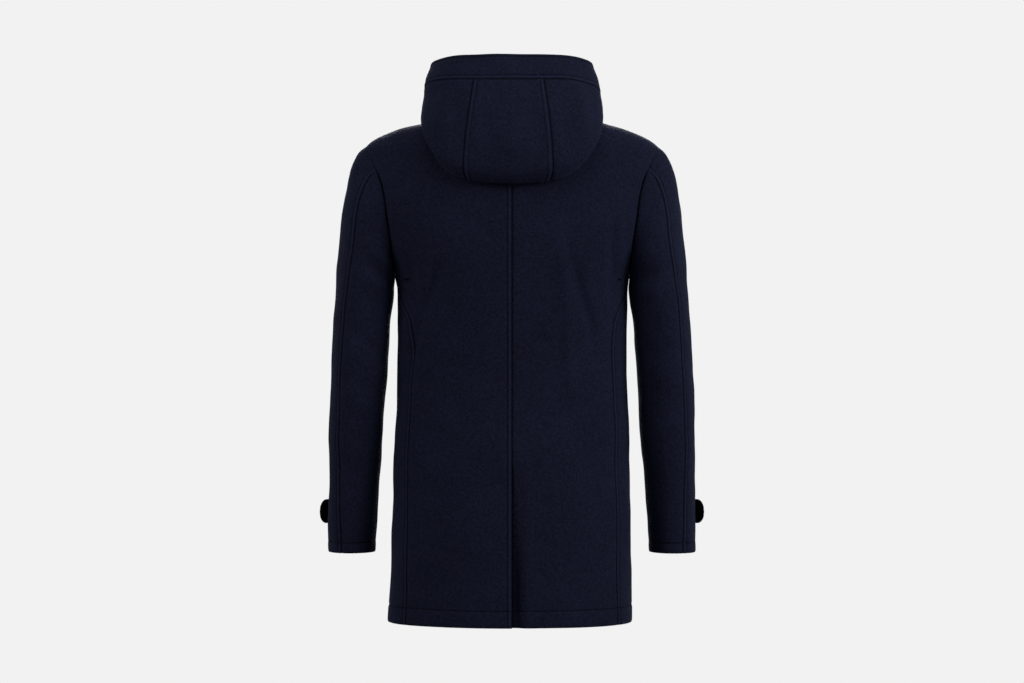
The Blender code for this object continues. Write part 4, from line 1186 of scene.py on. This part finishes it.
def settled(point):
    """The hood's bag settles: its sides close in a little above the shoulders and its bottom hangs lower."""
    heights, shares = zip(*HOOD_SETTLE)
    reach = min((abs(point.x) / HOOD_SETTLE_HALF_WIDTH) ** 3, 1.2)
    narrow = 1.0 - float(np.interp(point.z, heights, shares)) * reach
    return Vector((point.x * narrow, point.y, point.z - HOOD_SAG * ease(0.020, 0.090, -point.z)))


@functools.lru_cache(maxsize=None)
def hood_curve(angle, side):
    """One profile as a smooth curve by length, the length at its fold, and its whole length."""
    knots = hood_knots(angle)
    reached = [0.0]
    for a, b in zip(knots, knots[1:]):
        reached.append(reached[-1] + (b - a).length)
    curves = [smooth_through([(r, k[axis]) for r, k in zip(reached, knots)]) for axis in range(3)]

    def at(length):
        return settled(Vector((side * curves[0](length), curves[1](length), curves[2](length))))

    return at, reached[4], reached[-1]


def band_width(angle, side, room):
    """The band's width here, narrower where the hood has little room over its fold."""
    wanted = BAND_WIDTH + (BAND_WIDER_RIGHT * ease(30.0, 75.0, angle) if side < 0 else 0.0)
    return wanted / (1.0 + (wanted / (BAND_SHARE * room)) ** 6) ** (1.0 / 6.0)


def hood_point(signed_angle, row):
    """Rows: 0 at the neck seam, 0.5 at the fold, 1 at the band's seam, 2 at the rim. Left is positive."""
    side = 1 if signed_angle >= 0.0 else -1
    at, fold, whole = hood_curve(abs(signed_angle), side)
    seam = whole - band_width(abs(signed_angle), side, whole - fold)
    if row <= 0.5:
        return at(fold * row * 2.0)
    if row <= 1.0:
        return at(mix(fold, seam, row * 2.0 - 1.0))
    return at(mix(seam, whole, row - 1.0))


# %% Make the hood
HOOD_STEP = 0.0040
# height, reach, line of (across, up) in metres
HOOD_CENTRE_FOLDS = (
    (-0.0030, 0.0120, ((0.044, -0.060), (0.040, -0.030), (0.046, 0.010))),
    (-0.0026, 0.0130, ((-0.040, -0.055), (-0.044, -0.020), (-0.040, 0.020))),
    (0.0024, 0.0160, ((0.000, -0.070), (0.004, -0.020), (0.000, 0.030))),
    (-0.0022, 0.0100, ((-0.028, 0.034), (-0.030, 0.018), (-0.026, 0.004))),
)
HOOD_SIDE_FOLDS = (
    (-0.0034, 0.0130, ((0.090, -0.050), (0.084, -0.010), (0.092, 0.040))),
    (0.0026, 0.0160, ((0.110, -0.030), (0.112, 0.010), (0.116, 0.050))),
    (-0.0024, 0.0140, ((0.122, -0.004), (0.128, 0.030), (0.124, 0.060))),
)


def hood_relief(points):
    """The bag's folds and slow unevenness. The side folds are the same on both sides."""
    spots = points[..., [0, 2]]
    outer = np.clip((points[..., 1] - 0.02) / 0.04, 0.0, 1.0)
    mirrored = np.stack([np.abs(points[..., 0]), points[..., 2]], axis=-1)
    height = fold_relief(spots, HOOD_CENTRE_FOLDS) + fold_relief(mirrored, HOOD_SIDE_FOLDS)
    return height * outer + uneven(points, 0.055, 0.0026, 20.0)


def outward_from_hood(points):
    """Away from an upright line 10 mm in front of the neck's middle, kept level."""
    away = np.array(points, dtype=float)
    away[..., 1] += 0.010
    away[..., 2] = 0.0
    return away


def hood_panel(name, node_name, angles, rows, borders):
    points = np.array([[hood_point(angle, row) for row in rows] for angle in angles])
    cloth(name, node_name, points, wool, outward_from_hood, borders, hood_relief)


def hood_angles(start, end, row=1.2):
    """Angles round the neck, spaced by true distance along one row, fine at both ends."""
    probe = np.linspace(start, end, 81)
    points = [hood_point(angle, row) for angle in probe]
    return [float(angle) for angle in spaced(probe, points, EDGE_STEPS, EDGE_STEPS)]


def hood_rows(low, high):
    """Rows of the hood, spaced by true distance along the profile at 30 degrees."""
    probe = np.linspace(low, high, 101)
    points = [hood_point(30.0, row) for row in probe]
    return [float(row) for row in spaced(probe, points, EDGE_STEPS, EDGE_STEPS, HOOD_STEP)]


def make_hood():
    bag_rows = hood_rows(0.0, 1.0)
    band_rows = hood_rows(1.0, 2.0)
    centre = hood_angles(-HOOD_SEAM_RIGHT, HOOD_SEAM_LEFT)
    left = hood_angles(HOOD_SEAM_LEFT, HOOD_END_ANGLE)
    right = [-angle for angle in reversed(hood_angles(HOOD_SEAM_RIGHT, HOOD_END_ANGLE))]
    panel = {"top": ("seam", None), "bottom": ("seam", None)}
    stitched = {"left": ("seam", TOPSTITCH), "right": ("seam", TOPSTITCH)}
    plain_sides = {"left": ("seam", None), "right": ("seam", None)}
    hood_panel("cloth_hood_centre", "hood_centre", centre, bag_rows, {**panel, **stitched})
    hood_panel("cloth_hood_side_left", "hood_side_left", left, bag_rows, {**panel, **plain_sides})
    hood_panel("cloth_hood_side_right", "hood_side_right", right, bag_rows, {**panel, **plain_sides})
    whole = [*right, *centre[1:-1], *left]
    hood_panel("cloth_hood_band", "hood_band", whole, band_rows,
               {"top": ("seam", TOPSTITCH), "bottom": ("edge", 0.004), "left": ("edge", 0.004),
                "right": ("edge", 0.004)})


make_hood()

# %% [markdown]
# ## Cuff straps and buttons
# A short strap sits round the outside of each cuff, held by a button, with its rounded end standing free.
# The strap is cut from the same kind of cloth, painted much darker to stand for the shade it lies in, and
# the button is turned, with a raised rim and four holes.

# %% Make the straps
CUFF_TAB_WIDTH = 0.039
CUFF_TAB_Z = -0.629
CUFF_TAB_START = -122.0     # the strap runs round the sleeve between these turns, then stands off straight
CUFF_TAB_LEAVES = -40.0
CUFF_TAB_TAIL = 0.043
CUFF_TAB_THICK = 0.0022
BUTTON_RADIUS = 0.0105
BUTTON_THICK = 0.0036
TRIM_LIFT = 0.0010          # a strap or patch lies this far over the cloth
STRAP_STITCH = 0.0055
STRAP_ACROSS = np.linspace(-1.0, 1.0, 9)
STRAP_ALONG = (*np.linspace(0.0, 1.0, 24), *np.linspace(1.06, 1.9, 16), 1.94, 1.965, 1.985, 1.995)


def strap_place(side):
    """The strap's grid: along it (0 sewn end, 1 where it leaves the sleeve, 2 free end) and across it."""
    level = (CUFF_TAB_Z - FAN_LOW_Z) / (CUFF_Z - FAN_LOW_Z) + 1.0

    def place(along, across):
        width = CUFF_TAB_WIDTH / 2.0
        past = 0.0
        if along > 1.0:
            past = (along - 1.0) * CUFF_TAB_TAIL
            round_start = CUFF_TAB_TAIL - width
            if past > round_start:
                width *= math.sqrt(max(1.0 - ((past - round_start) / (width * 1.02)) ** 2, 0.0))
        length = level - across * width / (FAN_LOW_Z - CUFF_Z)
        turn = mix(CUFF_TAB_START, CUFF_TAB_LEAVES, min(along, 1.0))
        wall = sleeve_normal(turn, length, side)
        point = sleeve_point(turn, length, side) + wall * (TRIM_LIFT + CUFF_TAB_THICK)
        if along > 1.0:
            ahead = sleeve_point(turn + 1.0, level, side) - sleeve_point(turn - 1.0, level, side)
            point += ahead.normalized() * past
        return point, wall
    return place


def make_straps():
    for side, word in ((1, "left"), (-1, "right")):
        place = strap_place(side)
        points = np.array([[place(along, across)[0] for across in STRAP_ACROSS] for along in STRAP_ALONG])
        borders = {border: ("edge", STRAP_STITCH) for border in ("top", "bottom", "left")}
        cloth("cloth_cuff_tab_" + word, "cuff_tab_" + word, points, shaded_strap_wool,
              outward_from_sleeve(side), borders, lambda at: uneven(at, 0.02, 0.0006, 31.0),
              wall=CUFF_TAB_THICK)


make_straps()

# %% Make the buttons
def button_material():
    made, tree, shader = new_material("dark_button", 0.45, 0.15)
    place = node(tree, "ShaderNodeTexCoord").outputs["Object"]
    cloud = node(tree, "ShaderNodeTexNoise", {"Vector": place}, Scale=180.0, Detail=4.0, Distortion=1.5)
    colour = ramp(tree, cloud.outputs["Fac"], 0.35, 0.70, (0.0020, 0.0020, 0.0030), (0.0090, 0.0080, 0.0080))
    tree.links.new(colour, shader.inputs["Base Color"])
    raise_surface(tree, shader, cloud.outputs["Fac"], 0.15, 0.0002)
    return made


def finished_piece(name, shape, finish, node_name=None):
    """Turn a bmesh into a smooth piece that rides with the coat."""
    mesh = bpy.data.meshes.new(name)
    shape.to_mesh(mesh)
    shape.free()
    mesh.materials.append(finish)
    mesh.shade_smooth()
    piece = bpy.data.objects.new(name, mesh)
    bpy.context.scene.collection.objects.link(piece)
    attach(piece, "root")
    if node_name:
        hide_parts(node_name)
    return piece


def spun(profile, axis, steps):
    """A closed turned shape: the profile is (along the axis, radius)."""
    turned = bmesh.new()
    side = Vector((0.0, 0.0, 1.0)) if axis.x else Vector((1.0, 0.0, 0.0))
    verts = [turned.verts.new(axis * along + side * radius) for along, radius in profile]
    edges = [turned.edges.new(pair) for pair in zip(verts, verts[1:])]
    bmesh.ops.spin(turned, geom=verts + edges, cent=(0, 0, 0), axis=axis, angle=math.tau, steps=steps,
                   use_merge=True)
    bmesh.ops.remove_doubles(turned, verts=turned.verts[:], dist=1e-5)
    bmesh.ops.recalc_face_normals(turned, faces=turned.faces[:])
    return turned


BUTTON_PROFILE = (
    (0.0, 0.0), (0.0, 0.0080), (0.0005, 0.0096), (0.0014, BUTTON_RADIUS),
    (BUTTON_THICK - 0.0008, BUTTON_RADIUS), (BUTTON_THICK - 0.0002, 0.0101),
    (BUTTON_THICK, 0.0095), (BUTTON_THICK - 0.0001, 0.0088),
    (BUTTON_THICK - 0.0008, 0.0078), (BUTTON_THICK - 0.0011, 0.0060), (BUTTON_THICK - 0.0012, 0.0),
)
HOLE_SPREAD = 0.0021


def make_buttons():
    finish = button_material()
    thread_finish = plain_material("button_thread", (0.0015, 0.0019, 0.0038), 0.8, 0.1)
    for side, word in ((1, "left"), (-1, "right")):
        spot, wall = strap_place(side)(0.87, 0.0)
        turn = wall.to_track_quat("Z", "Y").to_matrix().to_4x4()
        lay = Matrix.Translation(spot + wall * 0.0005) @ turn
        shape = spun(BUTTON_PROFILE, Vector((0.0, 0.0, 1.0)), 40)
        shape.transform(lay)
        finished_piece("button_" + word, shape, finish, "cuff_button_" + word)
        thread = bmesh.new()
        for quarter in range(4):
            angle = math.radians(45.0 + 90.0 * quarter)
            at = Vector((HOLE_SPREAD * math.cos(angle), HOLE_SPREAD * math.sin(angle), BUTTON_THICK - 0.0013))
            bmesh.ops.create_uvsphere(thread, u_segments=8, v_segments=5, radius=0.0009,
                                      matrix=lay @ Matrix.Translation(at))
        finished_piece("button_thread_" + word, thread, thread_finish)
    print("buttons 2")


make_buttons()

# %% [markdown]
# ## Toggle rows
# The front closes with turned horn toggles. Each hangs in a cord from a leather patch on the wearer's right
# and goes through a cord loop from a patch on the left. The rows are hidden in the usual view from behind,
# so they are plain, ordinary ones. Cords are curves with a round section, because a curve keeps one even
# thickness round its bends.

# %% Leather patches
TOGGLE_HEIGHTS = (-0.135, -0.270, -0.405)
TOGGLE_RADIUS = 0.0065
TOGGLE_WAIST = 0.0042
TOGGLE_X = -0.042
TOGGLE_RISE = 0.0150        # the toggle's axis stands this far off the left front
CORD_RADIUS = 0.0019
CORD_RISE = 0.0029          # a cord's axis over the cloth that it lies on
LOOP_HALF_GAP = 0.0115
LOOP_PATCH_START = 0.040
TOGGLE_PATCH_START = -0.092
PATCH_LENGTH = 0.046
PATCH_HALF_HEIGHT = 0.018
PATCH_THICK = 0.0018
PATCH_STITCH = 0.003
PATCH_ACROSS = np.linspace(-1.0, 1.0, 17)
PATCH_ALONG = (0.0, 0.03, 0.08, 0.16, 0.25, 0.35, 0.45, 0.55, 0.64, 0.72, 0.79, 0.85, 0.90, 0.94, 0.97, 0.985,
               0.995)


def front_spot(across, height, lift=0.0):
    """Point over the left front, which lies on top: distance from the middle, height, lift off the cloth."""
    point = Vector((across, body_depth_at(across, height, False), height))
    return point + body_normal(point) * lift


def leather_material():
    made, tree, shader = new_material("brown_leather", 0.5, 0.15)
    place = node(tree, "ShaderNodeTexCoord").outputs["Object"]
    grain = node(tree, "ShaderNodeTexVoronoi", {"Vector": place}, Scale=700.0)
    wear = node(tree, "ShaderNodeTexNoise", {"Vector": place}, Scale=60.0, Detail=5.0)
    stitch = near_line(tree, "to_stitch", 0.0006)
    tone = math_node(tree, "SUBTRACT", wear.outputs["Fac"], math_node(tree, "MULTIPLY", stitch, 0.35))
    tree.links.new(ramp(tree, tone, 0.25, 0.75, (0.0060, 0.0028, 0.0013), (0.0270, 0.0135, 0.0066)),
                   shader.inputs["Base Color"])
    tree.links.new(ramp(tree, wear.outputs["Fac"], 0.3, 0.7, (0.62, 0.62, 0.62), (0.42, 0.42, 0.42)),
                   shader.inputs["Roughness"])
    height = math_node(tree, "MULTIPLY_ADD", wear.outputs["Fac"], 0.6, grain.outputs["Distance"])
    height = math_node(tree, "SUBTRACT", height, stitch)
    raise_surface(tree, shader, height, 0.35, 0.0004)
    return made


def patch_place(start, way, height):
    """A rounded patch: along it from its cord end (0) to its tip (1), across it from -1 to 1."""
    def place(along, across):
        across_body = start + way * PATCH_LENGTH * along
        taper = math.sqrt(max(1.0 - (max(along - 0.45, 0.0) / 0.56) ** 2, 0.0))
        point = front_spot(across_body, height + across * PATCH_HALF_HEIGHT * taper)
        return point + body_normal(point) * (TRIM_LIFT + PATCH_THICK)
    return place


def make_patches():
    leather = leather_material()
    for number, height in enumerate(TOGGLE_HEIGHTS, start=1):
        for word, start, way in (("loop", LOOP_PATCH_START, 1), ("toggle", TOGGLE_PATCH_START, -1)):
            place = patch_place(start, way, height)
            points = np.array([[place(along, across) for across in PATCH_ACROSS] for along in PATCH_ALONG])
            borders = {border: ("edge", PATCH_STITCH) for border in ("top", "bottom", "left")}
            cloth(f"leather_{word}_{number}", f"{word}_patch_{number}", points, leather,
                  outward_from_middle, borders, wall=PATCH_THICK)


make_patches()

# %% Cords
SEAM_GAP = 0.0003


def loop_route(height):
    """From the left patch to a round end behind the toggle, and back."""
    end = TOGGLE_X - 0.006
    route = [(LOOP_PATCH_START - 0.0006, LOOP_HALF_GAP), (0.020, LOOP_HALF_GAP), (-0.004, LOOP_HALF_GAP),
             (-0.028, LOOP_HALF_GAP)]
    for turn in even(6, 90.0, -90.0):
        angle = math.radians(turn)
        route.append((end - LOOP_HALF_GAP * math.cos(angle), LOOP_HALF_GAP * math.sin(angle)))
    route += [(-0.028, -LOOP_HALF_GAP), (-0.004, -LOOP_HALF_GAP), (0.020, -LOOP_HALF_GAP),
              (LOOP_PATCH_START - 0.0006, -LOOP_HALF_GAP)]
    return [front_spot(across, height + up, CORD_RISE) for across, up in route]


def toggle_cord_route(height):
    """From the right patch, over the loop's end, round the toggle's waist, and back."""
    wrap = TOGGLE_WAIST + CORD_RADIUS + 2.0 * SEAM_GAP
    strand = ((TOGGLE_PATCH_START + 0.0006, 0.0064, CORD_RISE), (-0.084, 0.0063, 0.0036),
              (-0.075, 0.0062, 0.0064), (-0.066, 0.0061, 0.0084), (-0.056, 0.0062, 0.0100))
    middle = front_spot(TOGGLE_X, height, TOGGLE_RISE)
    ring = [middle + Vector((0.0, -wrap * math.sin(math.radians(turn)), wrap * math.cos(math.radians(turn))))
            for turn in (-10.0, 25.0, 60.0, 90.0, 120.0, 155.0, 190.0)]
    start = [front_spot(across, height + up, lift) for across, up, lift in strand]
    back = [front_spot(across, height - up, lift) for across, up, lift in reversed(strand)]
    return [*start, *ring, *back]


def cord_material():
    made, tree, shader = new_material("waxed_cord", 0.62)
    place = node(tree, "ShaderNodeTexCoord").outputs["Object"]
    plait = node(tree, "ShaderNodeTexWave", {"Vector": place}, bands_direction="DIAGONAL", Scale=150.0,
                 Distortion=2.0)
    fibre = node(tree, "ShaderNodeTexNoise", {"Vector": place}, Scale=900.0, Detail=3.0)
    tone = math_node(tree, "MULTIPLY_ADD", plait.outputs["Fac"], 0.6, math_node(tree, "MULTIPLY",
                     fibre.outputs["Fac"], 0.5))
    tree.links.new(ramp(tree, tone, 0.2, 0.95, (0.006, 0.006, 0.010), (0.035, 0.032, 0.036)),
                   shader.inputs["Base Color"])
    raise_surface(tree, shader, tone, 0.8, 0.0006)
    return made


def make_cord(name, node_name, route, finish):
    """A cord along a smooth curve through its route."""
    reached = lengths_along(np.array(route))
    curves = [smooth_through([(r, k[axis]) for r, k in zip(reached, route)]) for axis in range(3)]
    count = int(reached[-1] / 0.0022)
    data = bpy.data.curves.new(name, "CURVE")
    data.dimensions = "3D"
    data.bevel_depth = CORD_RADIUS
    data.bevel_resolution = 3
    data.use_fill_caps = True
    line = data.splines.new("POLY")
    line.points.add(count)
    for point, length in zip(line.points, np.linspace(0.0, reached[-1], count + 1)):
        point.co = (*(curve(length) for curve in curves), 1.0)
    data.materials.append(finish)
    cord = bpy.data.objects.new(name, data)
    bpy.context.scene.collection.objects.link(cord)
    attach(cord, "root")
    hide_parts(node_name)
    return float(reached[-1])


def make_cords():
    finish = cord_material()
    for number, height in enumerate(TOGGLE_HEIGHTS, start=1):
        loop = make_cord(f"loop_{number}", f"loop_cord_{number}", loop_route(height), finish)
        toggle = make_cord(f"toggle_tie_{number}", f"toggle_cord_{number}", toggle_cord_route(height), finish)
        print("row", number, "loop cord", round(loop, 3), "m, toggle cord", round(toggle, 3), "m")


make_cords()

# %% Toggles
TOGGLE_HALF_PROFILE = (     # columns: distance from the waist's middle, radius
    (0.0030, TOGGLE_WAIST), (0.0040, 0.0048), (0.0050, 0.0058), (0.0062, 0.0064), (0.0090, 0.0066),
    (0.0130, TOGGLE_RADIUS), (0.0165, 0.0059), (0.0200, 0.0050), (0.0232, 0.0040), (0.0250, 0.0028),
    (0.0258, 0.0014), (0.0260, 0.0),
)
TOGGLE_PROFILE = (
    *((-along, radius) for along, radius in reversed(TOGGLE_HALF_PROFILE)),
    *TOGGLE_HALF_PROFILE,
)


def horn_material():
    made, tree, shader = new_material("brown_horn", 0.34, 0.25)
    place = node(tree, "ShaderNodeTexCoord").outputs["Object"]
    drawn = node(tree, "ShaderNodeMapping", {"Vector": place}, Scale=(0.25, 1.0, 1.0))
    streak = node(tree, "ShaderNodeTexNoise", {"Vector": drawn.outputs["Vector"]}, Scale=420.0, Detail=5.0,
                  Distortion=0.8)
    colour = ramp(tree, streak.outputs["Fac"], 0.30, 0.72, (0.0100, 0.0045, 0.0021), (0.1050, 0.0600, 0.0290))
    tree.links.new(colour, shader.inputs["Base Color"])
    raise_surface(tree, shader, streak.outputs["Fac"], 0.12, 0.0003)
    return made


def make_toggles():
    horn = horn_material()
    for number, height in enumerate(TOGGLE_HEIGHTS, start=1):
        shape = spun(TOGGLE_PROFILE, Vector((1.0, 0.0, 0.0)), 32)
        bmesh.ops.translate(shape, vec=front_spot(TOGGLE_X, height, TOGGLE_RISE), verts=shape.verts[:])
        finished_piece(f"horn_toggle_{number}", shape, horn, f"toggle_{number}")
    print("toggles", len(TOGGLE_HEIGHTS))


make_toggles()

# %% [markdown]
# ## Topstitching
# The thread shows as short, plump stitches lying in their groove. A painted dash would look flat from near
# by, so each stitch is a small stretched ball, set along the line that its panel stored, and sunk halfway
# into the cloth.

# %% Make the stitches
STITCH_PITCH = 0.0036
STITCH_HALF = (0.00135, 0.00034, 0.00030)   # half length, half width, half height
# Painted shade: the navy thread is made darker still, to carry the shade of the groove that it lies in.
THREAD_WITH_GROOVE_SHADE = (0.0006, 0.0008, 0.0022)
BAR_POINTS = 13
BAR_LIFT = 0.0003           # the vent's slanted stitches lie this far over the cloth


def stitch_spots(line):
    """Places along a line of points, one for each stitch, with the way along and the way out."""
    points = np.array([spot for spot, _ in line])
    normals = np.array([normal for _, normal in line])
    reached = lengths_along(points)
    count = int(reached[-1] / STITCH_PITCH)
    at = (np.arange(count) + 0.5) * STITCH_PITCH
    ahead = np.array([np.interp(at + 0.0008, reached, points[:, k]) for k in range(3)]).T
    behind = np.array([np.interp(at - 0.0008, reached, points[:, k]) for k in range(3)]).T
    out = np.array([np.interp(at, reached, normals[:, k]) for k in range(3)]).T
    return [(Vector((a + b) / 2.0), Vector(a - b).normalized(), Vector(n).normalized())
            for a, b, n in zip(ahead, behind, out)]


def vent_bar_line():
    """Points along the slanted bar, on the left back's surface."""
    line = []
    for part in np.linspace(0.0, 1.0, BAR_POINTS):
        across, up = mix(Vector(VENT_BAR[0]), Vector(VENT_BAR[1]), float(part))
        point = Vector((across, body_depth_at(across, up), up))
        out = body_normal(point)
        lift = float(body_relief(np.array([[point]]))[0, 0]) + BAR_LIFT
        line.append((np.array(point + out * lift), np.array(out)))
    return line


def make_stitches():
    finish = plain_material("navy_thread_with_groove_shade", THREAD_WITH_GROOVE_SHADE, 0.9, 0.02)
    THREAD_LINES["cloth_back_left_bar"] = vent_bar_line()
    total = 0
    for name, line in THREAD_LINES.items():
        sewn = bmesh.new()
        for spot, ahead, out in stitch_spots(line):
            beside = out.cross(ahead).normalized()
            turn = Matrix((ahead, beside, ahead.cross(beside))).transposed().to_4x4()
            lay = Matrix.Translation(spot + out * 0.0001) @ turn @ Matrix.Diagonal((*STITCH_HALF, 1.0))
            bmesh.ops.create_uvsphere(sewn, u_segments=6, v_segments=4, radius=1.0, matrix=lay)
            total += 1
        finished_piece("thread_" + name, sewn, finish)
    print("stitches", total)


make_stitches()
